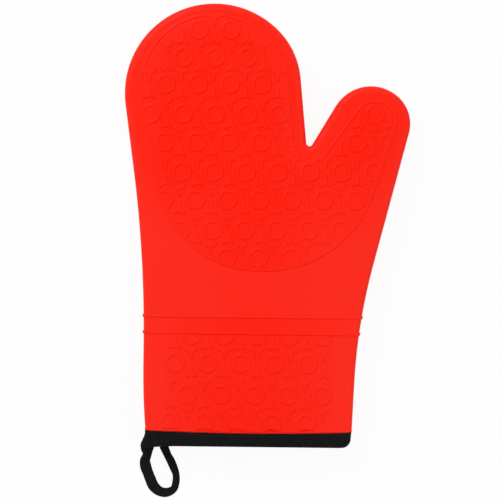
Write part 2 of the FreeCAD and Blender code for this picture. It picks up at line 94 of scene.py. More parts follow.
class OutlineSizes(bpy.types.PropertyGroup):
    """The mitt's outline, seen square to the palm."""

    crown_x: size("Crown across", -28.5, "Centre of the finger pouch's round end, across")
    crown_y: size("Crown up", 264.7, "Centre of the finger pouch's round end, from the hem")
    crown_radius: size("Crown radius", 67.0, "Round end of the finger pouch")
    shoulder_radius: size("Shoulder radius", 58.0, "Tighter curve down towards the thumb")
    shoulder_turn: lean("Shoulder turn", 44.0, "Direction in which the crown becomes the shoulder")
    pouch_lean: lean("Pouch lean", 7.8, "Lean of the pouch's outer side")
    waist_radius: size("Waist radius", 938.0, "Long hollow curve down the outer side")
    cuff_side: size("Cuff side", 79.4, "Outer side of the cuff from the middle")
    draw_height: size("Draw height", 60.0, "Length over which the outer side draws in")
    draw_depth: size("Draw depth", 3.3, "How far the outer side draws in to the hem")
    crotch_x: size("Crotch across", 42.9, "Centre of the curve between pouch and thumb, across")
    crotch_y: size("Crotch up", 228.5, "Centre of the curve between pouch and thumb, from the hem")
    crotch_radius: size("Crotch radius", 2.5, "Curve between pouch and thumb")
    thumb_x: size("Thumb across", 88.5, "Centre of the thumb's round end, across")
    thumb_y: size("Thumb up", 240.9, "Centre of the thumb's round end, from the hem")
    thumb_radius: size("Thumb radius", 30.4, "Round end of the thumb")
    knuckle_radius: size("Knuckle radius", 27.0, "Curve from the thumb's end to its outer side")
    knuckle_turn: lean("Knuckle turn", 45.0, "Direction in which the thumb's end turns into it")
    thumb_lean: lean("Thumb lean", 14.5, "Lean of the thumb's outer side")
    wrist_radius: size("Wrist radius", 432.0, "Long hollow curve below the thumb")
    thumb_side: size("Thumb side", 76.1, "Thumb side of the cuff from the middle of the hem")
    cuff_lean: lean("Cuff lean", 2.5, "Lean of the cuff's thumb side")


class ShellSizes(bpy.types.PropertyGroup):
    """The silicone moulding."""

    emboss: size("Emboss", 0.8, "How far the wrist ribs stand off the silicone")
    side_radius: size("Side radius", 4.5, "Rounding of the sides into both faces")
    side_bulge: size("Side bulge", 0.05, "How far the sides swell between their roundings")
    parting_line: size("Parting line", 0.12, "Height of the line where the mould's halves met")
    wall: size("Wall", 1.5, "Thickness of the silicone")
    rib_height: size("Rib height", 86.1, "Middle of the lower wrist rib from the hem")
    rib_pitch: size("Rib pitch", 12.3, "From one wrist rib to the next")
    rib_width: size("Rib width", 2.7, "Each wrist rib along the cuff")
    lip_height: size("Lip height", 13.1, "Middle of the lip above the binding")
    lip_width: size("Lip width", 1.4, "Lip above the binding, along the cuff")
    lip_rise: size("Lip rise", 0.45, "How far the lip stands off the silicone")
    puff: size("Puff", 1.3, "How far the padding lifts the middle of the palm")
    puff_reach: size("Puff reach", 24.0, "Distance from the edge over which the palm rises")
    ripple: size("Ripple", 0.32, "Height of the slow ripples in the soft palm")
    ripple_length: size("Ripple length", 62.0, "Length of the slow ripples")


class GripSizes(bpy.types.PropertyGroup):
    """The moulded grip: rings on a triangular lattice, forks between them and a border."""

    rise: size("Rise", 0.7, "How far the pattern stands off the silicone")
    ring_radius: size("Ring radius", 8.0, "Outside of each ring at its foot")
    ring_hole: size("Ring hole", 4.6, "Inside of each ring at its foot")
    fork_rise: size("Fork rise", 8.0, "Middle of each fork from its row of rings")
    fork_stem: size("Fork stem", 6.4, "Arm of a fork that points at the row of rings")
    fork_arm: size("Fork arm", 5.3, "Each other arm of a fork")
    fork_width: size("Fork width", 3.2, "Width of a fork's arms")
    border_width: size("Border width", 2.8, "Bead round the palm's pattern")
    wall_run: size("Wall run", 0.32, "Slope at the foot of every raised figure")
    round_run: size("Round run", 0.28, "Softened rim of every raised figure")
    palm_x: size("Palm pattern across", -15.66, "Where the palm's rings count from, across")
    palm_y: size("Palm pattern up", 335.25, "Where the palm's rings count from, from the hem")
    palm_pitch: size("Palm pitch", 23.84, "From ring to ring on the palm")
    palm_row: size("Palm row", 21.5, "From row to row on the palm")
    cuff_x: size("Cuff pattern across", -41.1, "Where the cuff's rings count from, across")
    cuff_y: size("Cuff pattern up", 108.15, "Where the cuff's rings count from, from the hem")
    cuff_pitch: size("Cuff pitch", 24.8, "From ring to ring on the cuff")
    cuff_row: size("Cuff row", 22.1, "From row to row on the cuff")


class SewnSizes(bpy.types.PropertyGroup):
    """The liner, the bound hem and the hanging loop."""

    fold_gap: size("Fold gap", 1.6, "Gap between the shell's rim and the tape's fold")
    slack: size("Slack", 0.2, "Space between one layer and the next")
    quilt_seam: size("Quilt seam", 1.4, "Thickness of the liner at its quilting seams")
    quilt_pitch: size("Quilt pitch", 30.0, "From one quilting seam to the next")
    quilt_puff: size("Quilt puff", 3.2, "How far the wadding may swell between seams")
    tape: size("Tape", 0.6, "Thickness of the binding tape")
    tape_proud: size("Tape proud", 0.4, "How far the tape stands outside the silicone")
    tape_height: size("Tape height", 12.0, "Outer turn of the tape along the cuff")
    tape_turn_in: size("Tape turn-in", 10.0, "Inner turn of the tape along the cuff")
    pucker: size("Pucker", 0.22, "How far the sewn tape's edge wanders")
    tail_end: size("Tail end", -57.5, "Inner end of the loop's sewn-on tail, across")
    tail_height: size("Tail height", 9.3, "The loop's sewn-on tail along the cuff")
    tail_cloth: size("Tail cloth", 0.35, "Thickness of the tail over the tape")
    loop_width: size("Loop width", 7.6, "Folded tape of the hanging loop, across")
    loop_thickness: size("Loop thickness", 1.9, "Folded tape of the hanging loop")
    loop_cloth: size("Loop cloth", 0.75, "Tape of the hanging loop before it is folded")
    quilt_edge: size("Quilt edge", 2.0, "Thickness of the liner where the tape grips it")
    corner_radius: size("Corner radius", 7.5, "Rounding of the hem's corner on the thumb side")
    taut: size("Taut", 0.75, "How far the tape draws the cuff in on the thumb side")
    flare: size("Flare", 3.9, "How far the hem is drawn out where the loop is sewn in")
    flare_height: size("Flare height", 0.8, "Where the hem is drawn out most, from the hem")
    flare_reach: size("Flare reach", 9.0, "Height over which the hem is drawn out")
    hem_rise: size("Hem rise", 1.2, "How far the palm side of the hem rides up")
    hem_sag: size("Hem sag", 0.75, "How far the tape's edge on the palm sags in the middle")
    seam_height: size("Seam height", 10.1, "Row of stitches from the hem")
    stitch_length: size("Stitch length", 2.5, "Each stitch along its seam")
    stitch_gap: size("Stitch gap", 0.9, "Space between stitches")
    thread: size("Thread", 0.42, "Thickness of the sewing thread")


class Colours(bpy.types.PropertyGroup):
    """Colours of the finishes, as they are without light and shade, apart from the silicone's
    painted sheen.
    """

    silicone: colour("Silicone", (0.98, 0.0125, 0.0018), "Red silicone")
    # The second red is painted sheen: a paler, hazier red that stands in for the light the
    # silicone catches.
    painted_sheen: colour("Painted_sheen", (0.98, 0.0215, 0.0095), "Red silicone where it is paler and duller")
    tape: colour("Tape", (0.0062, 0.006, 0.0066), "Black woven tape")
    thread: colour("Thread", (0.011, 0.011, 0.012), "Black sewing thread")
    cotton: colour("Cotton", (0.52, 0.5, 0.47), "Lining cotton")
    floor: colour("Floor", (0.9, 0.9, 0.9), "Floor")


class StageSizes(bpy.types.PropertyGroup):
    """Camera and lamps."""

    view_width: size("View width", 375.0, "Width of what the camera sees at the mitt's middle")
    view_x: size("View across", -0.7, "Middle of the view, across")
    view_y: size("View up", 148.0, "Middle of the view, from the hem")
    view_roll: lean("View roll", 0.65, "Turn of the camera about its own line of sight")
    distance: size("Distance", 1600.0, "Camera from the mitt's middle")
    key_power: level("Key power", 24.0, "Watts of the large lamp")
    fill_power: level("Fill power", 6.5, "Watts of the fill lamp")
    world_light: level("World light", 0.66, "Strength of the light from all round")


class OvenMitt(bpy.types.PropertyGroup):
    """Everything that a user may change."""

    outline: PointerProperty(type=OutlineSizes)
    shell: PointerProperty(type=ShellSizes)
    grip: PointerProperty(type=GripSizes)
    sewn: PointerProperty(type=SewnSizes)
    colours: PointerProperty(type=Colours)
    stage: PointerProperty(type=StageSizes)


def settings():
    """The sizes and colours in force."""
    return bpy.context.scene.oven_mitt


# ---------------------------------------------------------------- outlines

class Round:
    """A round stretch of an outline. Convex ones shrink with the inset, and hollow ones grow."""

    def __init__(self, x, y, radius, hollow=False):
        self.centre = Vector((x, y))
        self.radius = radius
        self.hollow = hollow

    def inset(self, depth):
        """The same stretch of an outline that lies deeper inside."""
        radius = self.radius + depth if self.hollow else self.radius - depth
        return Round(*self.centre, radius, self.hollow)

    def at(self, direction):
        """The stretch's point in a direction from its centre."""
        return self.centre + self.radius * heading(direction)

    def signed(self):
        """The radius, negative if hollow."""
        return -self.radius if self.hollow else self.radius

    def turn(self, start, end):
        """Angle from the stretch's start to its end: clockwise, or the other way if hollow."""
        first = math.atan2(*(start - self.centre).yx)
        last = math.atan2(*(end - self.centre).yx)
        return (last - first) % math.tau if self.hollow else -((first - last) % math.tau)


def heading(direction):
    """Unit vector in the plane."""
    return Vector((math.cos(direction), math.sin(direction)))


def tangent(first, second):
    """Ends of the line that leaves one round stretch and joins the next, going clockwise."""
    span = second.centre - first.centre
    tilt = math.acos(min(1, (first.signed() - second.signed()) / span.length))
    normal = heading(math.atan2(span.y, span.x) + tilt)
    return first.centre + normal * first.signed(), second.centre + normal * second.signed()


def hollow_between(start, first_way, end, last_way, radius):
    """The hollow stretch that joins two straight sides, each given by a point and its heading."""
    cross = first_way.x * last_way.y - first_way.y * last_way.x
    gap = end - start
    apex = start + first_way * ((gap.x * last_way.y - gap.y * last_way.x) / cross)
    reach = radius * math.tan(abs(first_way.angle_signed(last_way)) / 2)
    side = Vector((-first_way.y, first_way.x))
    return Round(*(apex - first_way * reach + side * radius), radius, hollow=True)


def mitt_outline(depth, hem):
    """The mitt from the hem's outer corner, over fingers and thumb, to its other corner.

    Gives each round stretch with its own end and the point that comes after it, and then the
    outline's first point.
    """
    s = settings().outline
    crown = Round(s.crown_x, s.crown_y, s.crown_radius)
    step = (s.crown_radius - s.shoulder_radius) * heading(s.shoulder_turn)
    shoulder = Round(*(crown.centre + step), s.shoulder_radius)
    crotch = Round(s.crotch_x, s.crotch_y, s.crotch_radius, hollow=True)
    thumb = Round(s.thumb_x, s.thumb_y, s.thumb_radius)
    step = (s.thumb_radius - s.knuckle_radius) * heading(s.knuckle_turn)
    knuckle = Round(*(thumb.centre + step), s.knuckle_radius)

    draw_radius = (s.draw_height ** 2 + s.draw_depth ** 2) / (2 * s.draw_depth)
    draw = Round(draw_radius - s.cuff_side, s.draw_height, draw_radius)
    waist = hollow_between(Vector((-s.cuff_side, 0)), Vector((0, 1)),
                           crown.at(math.pi + s.pouch_lean),
                           heading(math.pi / 2 + s.pouch_lean), s.waist_radius)
    down_cuff = heading(-math.pi / 2 - s.cuff_lean)
    wrist = hollow_between(knuckle.at(-s.thumb_lean), heading(-math.pi / 2 - s.thumb_lean),
                           heading(-s.cuff_lean) * s.thumb_side, down_cuff, s.wrist_radius)

    rounds = [bend.inset(depth)
              for bend in (draw, waist, crown, shoulder, crotch, thumb, knuckle, wrist)]
    joints = [tangent(one, other) for one, other in zip(rounds, rounds[1:])]
    fall = math.asin((hem - rounds[0].centre.y) / rounds[0].radius)
    start = rounds[0].at(math.pi - fall)
    ends = [end for end, _ in joints] + [rounds[-1].at(math.pi - s.cuff_lean)]
    corner = ends[-1] + down_cuff * ((hem - ends[-1].y) / down_cuff.y)
    return list(zip(rounds, ends, [start for _, start in joints] + [corner])), start


# The bead's round stretches: centre across and up, and radius, in millimetres, then if hollow.
BORDER_ROUNDS = ((-29.1, 268.3, 54.7, False), (43.5, 228.9, 14.1, True),
                 (91.1, 244.6, 15.3, False), (10.1, 217.2, 83.9, False),
                 (5.7, 210.2, 76.8, False))


def border_outline(depth):
    """The bead round the palm's pattern: pouch, hollow under the notch, thumb and heel."""
    rounds = [Round(x * MILLIMETRE, y * MILLIMETRE, radius * MILLIMETRE, hollow).inset(depth)
              for x, y, radius, hollow in BORDER_ROUNDS]
    joints = [tangent(one, other) for one, other in zip(rounds, rounds[1:] + rounds[:1])]
    stretches = zip(rounds, [end for end, _ in joints], [start for _, start in joints])
    return list(stretches), joints[-1][1]


ROUND_STEP = math.radians(7)


def verts_in(geometry):
    """The vertices among what an operator gives back."""
    return [item for item in geometry if isinstance(item, bmesh.types.BMVert)]


def trace(bm, outline, spacing):
    """Draws an outline: the vertex spins along each round stretch and runs straight between."""
    stretches, start = outline
    vert = bmesh.ops.create_vert(bm, co=start.to_3d())["vert"][0]
    for bend, end, after in stretches:
        angle = bend.turn(vert.co.xy, end)
        steps = max(abs(angle) / ROUND_STEP, abs(angle) * bend.radius / spacing)
        made = bmesh.ops.spin(bm, geom=[vert], cent=bend.centre.to_3d(), axis=(0, 0, 1),
                              angle=angle, steps=max(1, math.ceil(steps)), use_merge=False)
        vert = verts_in(made["geom_last"])[0]
        straight = after.to_3d() - vert.co
        steps = math.ceil((straight.length - 10 * CLOSE) / spacing)
        for _ in range(steps):
            vert = bmesh.ops.extrude_vert_indiv(bm, verts=[vert])["verts"][0]
            bmesh.ops.translate(bm, verts=[vert], vec=straight / steps)


def outline_points(outline, spacing):
    """A closed outline's points in the plane, anticlockwise."""
    bm = bmesh.new()
    trace(bm, outline, spacing)
    bmesh.ops.remove_doubles(bm, verts=bm.verts, dist=CLOSE)
    points = [vert.co.xy for vert in bm.verts]
    bm.free()
    return points[::-1]


def within(point, outline):
    """Whether a point lies inside an outline given by its points."""
    inside = False
    for one, other in zip(outline, outline[1:] + outline[:1]):
        if (one.y > point.y) != (other.y > point.y):
            share_up = (point.y - one.y) / (other.y - one.y)
            inside ^= point.x < one.x + share_up * (other.x - one.x)
    return inside


# ---------------------------------------------------------------- mesh work

# Points along an outline; rows of cuts near the hem and columns on each side, where it is soft.
SPACING = 4.0 * MILLIMETRE
HEM_ROWS = [height * MILLIMETRE for height in (2.2, 3.6, 5.4, 8.2)]
HEM_COLUMNS = 18

# A face is flat if its normal's part along Z passes this.
FLAT = 0.99


def smooth(value):
    """Eases from 0 to 1."""
    value = min(1.0, max(0.0, value))
    return value * value * (3 - 2 * value)


def face_height():
    """Flat of the palm or back from the middle plane, below ribs and pattern."""
    return SHELL_HIGH.z - settings().shell.emboss - MIDDLE


class SoftLie:
    """How the soft mitt lies: the palm swells and ripples, and the hem isn't square."""

    # Where the hem changes across the cuff, and the length over which it does.
    THUMB_SIDE, THUMB_BLEND = 40 * MILLIMETRE, 36 * MILLIMETRE
    LOOP_SIDE, LOOP_BLEND = -62 * MILLIMETRE, 15 * MILLIMETRE
    TAIL_SIDE, TAIL_BLEND = -74 * MILLIMETRE, 12 * MILLIMETRE
    TAUT_BLEND = 2 * MILLIMETRE

    # How soon the sag ends towards the sides, the small ripples' height and number against the
    # slow ones', and how soon the side takes the palm's full lift.
    SAG_END = 2.2
    SMALL_HEIGHT, SMALL_NUMBER = 0.5, 2.3
    LIFT_END = 1.2

    def __init__(self, lifts=True):
        self.lifts = lifts
        points = outline_points(mitt_outline(0, 0), SPACING)
        self.edge = kdtree.KDTree(len(points))
        for number, point in enumerate(points):
            self.edge.insert(point.to_3d(), number)
        self.edge.balance()

    def closeness(self, place):
        """From 0 well inside the outline to 1 at the mitt's edge."""
        flat = Vector((place.x, place.y, 0))
        return 1 - smooth(self.edge.find(flat)[2] / settings().shell.puff_reach)

    def lift(self, place):
        """How far the palm rises: not at all at the edge and the hem."""
        s = settings().shell
        flat = Vector((place.x, place.y, 0))
        from_edge = 1 - self.closeness(place)
        from_hem = smooth((place.y - s.lip_height) / (2 * s.puff_reach))
        wave = noise.noise(flat / s.ripple_length)
        wave += self.SMALL_HEIGHT * noise.noise(flat * self.SMALL_NUMBER / s.ripple_length)
        return from_edge * from_hem * (s.puff + s.ripple * wave)

    def draw(self, place):
        """Moves the hem's corners: rounded off on the thumb side, drawn out where the loop is."""
        s = settings().sewn
        low = min(1.0, max(0.0, 1 - (place.y + s.tape) / s.corner_radius))
        rounded = s.corner_radius * (1 - math.sqrt(1 - low * low))
        from_tape = s.tape_height + self.TAUT_BLEND / 2 - place.y
        taut = s.taut * smooth(from_tape / self.TAUT_BLEND)
        thumb_side = smooth((place.x - self.THUMB_SIDE) / self.THUMB_BLEND)
        drawn = s.flare * smooth(1 - abs(place.y - s.flare_height) / s.flare_reach)
        loop_side = smooth((self.LOOP_SIDE - place.x) / self.LOOP_BLEND)
        return -(rounded + taut) * thumb_side - drawn * loop_side

    def hang(self, place):
        """Moves the palm side of the hem up, and lets the tape's edge sag in the middle."""
        s = settings().sewn
        up = s.hem_rise * smooth(1 - place.y / s.tape_height)
        up *= smooth((place.x - self.TAIL_SIDE) / self.TAIL_BLEND)
        span = place.x / settings().outline.cuff_side
        sag = s.hem_sag * (1 - self.SAG_END * span * span)
        return up - sag * smooth(1 - abs(place.y - s.tape_height) / s.tape_height)

    def __call__(self, place):
        """Where a point of the stiff mitt lies once the mitt is soft."""
        above = smooth((place.z - MIDDLE) / face_height() * self.LIFT_END)
        if not above:
            return place + Vector((self.draw(place), 0, 0))
        lift = self.lift(place) * above if self.lifts else 0
        return place + Vector((self.draw(place), self.hang(place) * above, lift))


def open_edges(bm):
    """The edges of a mesh that only one face uses."""
    return [edge for edge in bm.edges if len(edge.link_faces) == 1]


def cut(bm, at, normal, clear=False):
    """Cuts right through at a plane, and clears what lies beyond it if asked."""
    bmesh.ops.bisect_plane(bm, geom=bm.verts[:] + bm.edges[:] + bm.faces[:], dist=CLOSE / 10,
                           plane_co=at, plane_no=normal, clear_outer=clear)


def mitt_slab(depth, hem, rounding, spacing=SPACING):
    """The mitt's skin at a depth inside the silicone: two flat faces and a rounded side."""
    half = face_height() - depth
    bm = bmesh.new()
    trace(bm, mitt_outline(depth, hem), spacing)
    bm.verts.ensure_lookup_table()
    bm.edges.new((bm.verts[-1], bm.verts[0]))
    bmesh.ops.translate(bm, verts=bm.verts, vec=(0, 0, MIDDLE - half))
    face = bmesh.ops.contextual_create(bm, geom=bm.edges[:])["faces"]
    palm = verts_in(bmesh.ops.extrude_face_region(bm, geom=face)["geom"])
    bmesh.ops.translate(bm, verts=palm, vec=(0, 0, 2 * half))
    bmesh.ops.recalc_face_normals(bm, faces=bm.faces)
    mouth = [face for face in bm.faces
             if all(abs(vert.co.y - hem) < CLOSE for vert in face.verts)]
    bmesh.ops.delete(bm, geom=mouth, context="FACES")
    rim = [edge for edge in bm.edges
           if len(edge.link_faces) == 2 and abs(edge.verts[0].co.z - edge.verts[1].co.z) < CLOSE]
    bmesh.ops.bevel(bm, geom=rim, offset=rounding, offset_type="OFFSET", segments=6,
                    profile=0.5, affect="EDGES", clamp_overlap=False, material=-1)
    bmesh.ops.remove_doubles(bm, verts=bm.verts, dist=CLOSE)
    for height in HEM_ROWS:
        cut(bm, (0, height, 0), (0, 1, 0))
    divide_hem(bm, HEM_ROWS[-1])
    bm.normal_update()
    return bm


def divide_hem(bm, height):
    """Divides the two faces below a height, so that the hem can sag and wander."""
    for number in range(-HEM_COLUMNS, HEM_COLUMNS + 1):
        low = {face for face in bm.faces if abs(face.normal.z) > FLAT
               and all(vert.co.y < height + CLOSE for vert in face.verts)}
        parts = {item for face in low for item in (*face.verts, *face.edges)}
        bmesh.ops.bisect_plane(bm, geom=[*parts, *low], dist=CLOSE, plane_no=(1, 0, 0),
                               plane_co=(number * SPACING, 0, 0))


def swell_side(bm):
    """Gives the straight part of the side a slight swell and the mould's parting line."""
    s = settings().shell
    straight = face_height() - s.side_radius
    ridge = 2 * s.parting_line
    for height in (-0.6 * straight, -0.3 * straight, -ridge, 0, ridge, 0.3 * straight,
                   0.6 * straight):
        cut(bm, (0, 0, MIDDLE + height), (0, 0, 1))
    bm.normal_update()
    moves = {}
    for vert in bm.verts:
        off_middle = abs(vert.co.z - MIDDLE)
        if off_middle < straight - CLOSE:
            way = Vector((vert.normal.x, 0 if vert.is_boundary else vert.normal.y, 0)).normalized()
            swell = s.side_bulge * math.cos(off_middle / straight * math.pi / 2)
            moves[vert] = way * (swell + (s.parting_line if off_middle < CLOSE else 0))
    for vert, move in moves.items():
        vert.co += move


def make_piece(name, bm, materials, lie=None, body="mitt", sharp=40.0):
    """Finishes a bmesh as a piece that rides on a body of the frame."""
    if lie:
        for vert in bm.verts:
            vert.co = lie(vert.co)
    for face in bm.faces:
        face.smooth = True
    limit = math.radians(sharp)
    for edge in bm.edges:
        edge.smooth = len(edge.link_faces) == 2 and edge.calc_face_angle(0) < limit
    mesh = bpy.data.meshes.new(name)
    bm.to_mesh(mesh)
    bm.free()
    for material in materials:
        mesh.materials.append(material)
    piece = bpy.data.objects.new(name, mesh)
    bpy.context.scene.collection.objects.link(piece)
    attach(piece, body)
    return piece


# ---------------------------------------------------------------- grip pattern

RING_CORNERS = 28


def ring(centre, radius):
    """Outline of a circle."""
    return [centre + radius * heading(math.tau * corner / RING_CORNERS)
            for corner in range(RING_CORNERS)]


def fork(centre, stem_way):
    """Outline of a fork: a stem and two shorter arms, round-ended, a third of a turn apart."""
    g = settings().grip
    half = g.fork_width / 2
    points = []
    for number, length in enumerate((g.fork_stem, g.fork_arm, g.fork_arm)):
        direction = stem_way + math.tau / 3 * number
        end = centre + heading(direction) * (length - half)
        points += [end + heading(direction + math.radians(turn)) * half
                   for turn in (-90, -45, 0, 45, 90)]
        points.append(centre + heading(direction + math.tau / 6) * half / math.sin(math.tau / 6))
    return points


class Lattice:
    """Rows of rings, every second row about half a pitch to the left, with forks in the gaps.

    A row climbs by tilt. From row to row, spread widens the pitch and drift moves the row along.
    Crowd brings the first rows down, and odd moves every second row. These four are in
    millimetres. The rows are numbered from the finger tip, each with its first and last ring.
    """

    MIDDLE_ROW = 2.5
    CROWDED_ROWS = 3

    def __init__(self, x, y, pitch, row_pitch, *, tilt, spread, drift, crowd, odd, rows):
        self.origin = Vector((x, y))
        self.along = Vector((pitch, pitch * tilt))
        self.spread = Vector((spread * MILLIMETRE, 0))
        self.down = Vector((drift * MILLIMETRE, -row_pitch))
        self.crowd = Vector((0, -crowd * MILLIMETRE))
        self.odd = Vector(odd) * MILLIMETRE
        self.rows = rows

    def place(self, column, row):
        """The middle of a ring, or of a gap between rings."""
        along = self.along + self.spread * (row - self.MIDDLE_ROW)
        place = self.origin + along * column + self.down * row
        place += self.crowd * max(0, self.CROWDED_ROWS - row) ** 2
        return place + self.odd if row % 2 else place - along / 2

    def figures(self):
        """Outlines of all rings, of their holes, and of a fork above and below each gap."""
        g = settings().grip
        gaps = set()
        for row, first, last in self.rows:
            for column in range(first, last + 1):
                yield "ring", ring(self.place(column, row), g.ring_radius)
                yield "hole", ring(self.place(column, row), g.ring_hole)
                gaps |= {(column - 0.5, row), (column + 0.5, row)}
        rise = Vector((0, g.fork_rise))
        for column, row in sorted(gaps):
            yield "fork", fork(self.place(column, row) + rise, -math.pi / 2)
            yield "fork", fork(self.place(column, row) - rise, math.pi / 2)


PALM_LATTICE = {
    "tilt": 0.008, "spread": 0.0, "drift": -0.17, "crowd": 0.6, "odd": (-1.17, 0.69),
    "rows": ((1, -1, 0), (2, -1, 1), (3, -2, 1), (4, -2, 2), (4, 5, 5), (5, -2, 2), (5, 4, 5),
             (6, -1, 5), (7, -2, 4), (8, -1, 4), (9, 0, 2))}
CUFF_LATTICE = {
    "tilt": -0.002, "spread": 0.29, "drift": -1.25, "crowd": 0.0, "odd": (-1.4, -1.3),
    "rows": ((1, 0, 4), (2, 0, 4), (3, 0, 4), (4, 0, 4))}

# Both ends of the cuff's pattern, as shares of the cuff's outer side.
CUFF_FIELD = (-0.825, 0.78)


def moulded_outlines(rim):
    """Every outline that is moulded on a face, as its kind and its points."""
    g = settings().grip
    s = settings().shell
    palm = outline_points(border_outline(g.border_width / 2), SPACING / 2)
    left, right = (share * settings().outline.cuff_side for share in CUFF_FIELD)
    low, high = s.lip_height + s.lip_width / 2, s.rib_height - s.rib_width / 2
    cuff = [Vector(corner) for corner in
            ((left, low), (right, low), (right, high), (left, high))]
    yield "border", outline_points(border_outline(-g.border_width / 2), SPACING / 2)
    for kind, field, lattice in (
            ("palm", palm, Lattice(g.palm_x, g.palm_y, g.palm_pitch, g.palm_row,
                                   **PALM_LATTICE)),
            ("cuff", cuff, Lattice(g.cuff_x, g.cuff_y, g.cuff_pitch, g.cuff_row,
                                   **CUFF_LATTICE))):
        yield kind, field
        for figure, points in lattice.figures():
            middle = sum(points, Vector((0, 0))) / len(points)
            tried = [middle] if figure == "fork" else points
            if any(within(point, field) for point in tried):
                yield figure, drawn_in(points, middle, rim)


# How far a point is drawn in at a time, and how far past it the rim has to be.
DRAW_STEP = 0.1
RIM_MARGIN = 1.1


def drawn_in(points, middle, rim):
    """The same outline with every point that is past the rim drawn in towards its middle."""
    for number, point in enumerate(points):
        share = 1.0
        while share > DRAW_STEP and not within(middle.lerp(point, share * RIM_MARGIN), rim):
            share -= DRAW_STEP
        points[number] = middle.lerp(point, share)
    return points


# The even points between the figures: their spacing, how many, and where their middle lies.
BETWEEN_SPACING = 6.5 * MILLIMETRE
BETWEEN_COLUMNS, BETWEEN_ROWS = 34, 54
BETWEEN_MIDDLE = Vector((11 * MILLIMETRE, 0.166, 0))


def divide_face(bm, face):
    """Divides a flat face along all that is moulded on it, and gives each part's outlines."""
    rim = [loop.vert for loop in face.loops]
    if face.normal.z < 0:
        rim.reverse()
    height = rim[0].co.z
    kinds, points, loops = ["face"], [vert.co.xy for vert in rim], [list(range(len(rim)))]
    for kind, outline in moulded_outlines(list(points)):
        loops.append(list(range(len(points), len(points) + len(outline))))
        points += outline
        kinds.append(kind)
    drawn = kdtree.KDTree(len(points))
    for number, point in enumerate(points):
        drawn.insert(point.to_3d(), number)
    drawn.balance()
    between = bmesh.new()
    half_width, half_height = BETWEEN_COLUMNS / 2, BETWEEN_ROWS / 2
    spread = Matrix.Diagonal((half_width * BETWEEN_SPACING, half_height * BETWEEN_SPACING, 1, 1))
    bmesh.ops.create_grid(between, x_segments=BETWEEN_COLUMNS, y_segments=BETWEEN_ROWS, size=1,
                          matrix=Matrix.Translation(BETWEEN_MIDDLE) @ spread)
    points += [vert.co.xy for vert in between.verts
               if drawn.find(vert.co)[2] > BETWEEN_SPACING / 5
               and within(vert.co, points[:len(rim)])]
    between.free()
    places, _, corners, sources, _, parents = delaunay_2d_cdt(points, [], loops, 1, CLOSE / 10)
    bmesh.ops.delete(bm, geom=[face], context="FACES_ONLY")
    verts = [rim[min(source)] if min(source, default=len(rim)) < len(rim)
             else bm.verts.new((*place, height)) for place, source in zip(places, sources)]
    return [(bm.faces.new([verts[corner] for corner in three]), {kinds[n] for n in parent})
            for three, parent in zip(corners, parents)]


# Share of a figure's rise that its foot takes; the softened rim takes the rest.
FOOT_SHARE = 0.75


def raise_figures(bm, faces, rise):
    """Lifts faces off their surface, with a sloped foot and a softened rim."""
    g = settings().grip
    for run, share in ((g.wall_run, FOOT_SHARE), (g.round_run, 1 - FOOT_SHARE)):
        bmesh.ops.inset_region(bm, faces=faces, thickness=run, depth=rise * share)


# ---------------------------------------------------------------- silicone shell

# Only the two flats of the slab have more corners than this.
FLAT_CORNERS = 50


class MITT_OT_silicone_shell(bpy.types.Operator):
    """Models the one-piece silicone moulding with its grip pattern and wrist ribs"""

    bl_idname = "mitt.silicone_shell"
    bl_label = "Silicone Shell"

    def execute(self, context):
        """Makes moulded_shell."""
        s = settings().shell
        hem = settings().sewn.tape + settings().sewn.fold_gap
        bm = mitt_slab(0, hem, s.side_radius)
        swell_side(bm)
        inside = bm.faces.layers.int.new("inside")
        for item in bmesh.ops.solidify(bm, geom=bm.faces[:], thickness=s.wall)["geom"]:
            if isinstance(item, bmesh.types.BMFace):
                item[inside] = 1
        raised = []
        flats = [face for face in bm.faces
                 if len(face.verts) > FLAT_CORNERS and not face[inside]]
        for flat in flats:
            for face, kinds in divide_face(bm, flat):
                face.material_index = int(not kinds & {"border", "cuff"})
                bead = "border" in kinds and "palm" not in kinds
                figure = "fork" in kinds or "ring" in kinds and "hole" not in kinds
                if bead or figure and kinds & {"palm", "cuff"}:
                    raised.append(face)
        bmesh.ops.recalc_face_normals(bm, faces=bm.faces)
        raise_figures(bm, raised, settings().grip.rise)
        ribs = [(s.rib_height, s.rib_width, s.emboss), (s.lip_height, s.lip_width, s.lip_rise),
                (s.rib_height + s.rib_pitch, s.rib_width, s.emboss)]
        for middle, width, rise in ribs:
            cut(bm, (0, middle - width / 2, 0), (0, 1, 0))
            cut(bm, (0, middle + width / 2, 0), (0, 1, 0))
            band = [face for face in bm.faces
                    if abs(face.calc_center_median().y - middle) < width / 2
                    and not face[inside]]
            raise_figures(bm, band, rise)
        for face in bm.faces:
            if face.calc_center_median().y < s.rib_height + s.rib_pitch:
                face.material_index = 0
        press_in(bm)
        bmesh.ops.recalc_face_normals(bm, faces=bm.faces)
        lie = SoftLie()
        # Closeness to the edge rides on the mesh, and the silicone's painted sheen grows with it.
        edge = bm.verts.layers.float.new("edge")
        for vert in bm.verts:
            vert[edge] = lie.closeness(vert.co)
        piece = make_piece("moulded_shell", bm, [silicone_finish(), twill_finish()],
                           lie)
        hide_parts("silicone_shell")
        return {"FINISHED"}


def press_in(bm):
    """Presses the silicone in where the binding tape covers it."""
    s = settings().sewn
    for height in (s.tape_height - s.slack, s.tape_height + s.slack):
        cut(bm, (0, height, 0), (0, 1, 0))
    inside = bm.faces.layers.int["inside"]
    bm.normal_update()
    for vert in bm.verts:
        if vert.co.y < s.tape_height and not any(face[inside] for face in vert.link_faces):
            way = Vector((vert.normal.x, 0, vert.normal.z)).normalized()
            vert.co -= way * (s.tape - s.tape_proud + s.slack / 2)


# ---------------------------------------------------------------- bound hem

# Points along a folded strip, and how much of its depth its fold rounds off.
STRIP_SPACING = 3.0 * MILLIMETRE
FOLD_ROUND = 0.35

# A face looks along the cuff if its normal's part along Y passes the first, and an edge is a
# fold if its faces meet at more than the second, in radians.
END_ON = 0.7
FOLD_ANGLE = 1.0

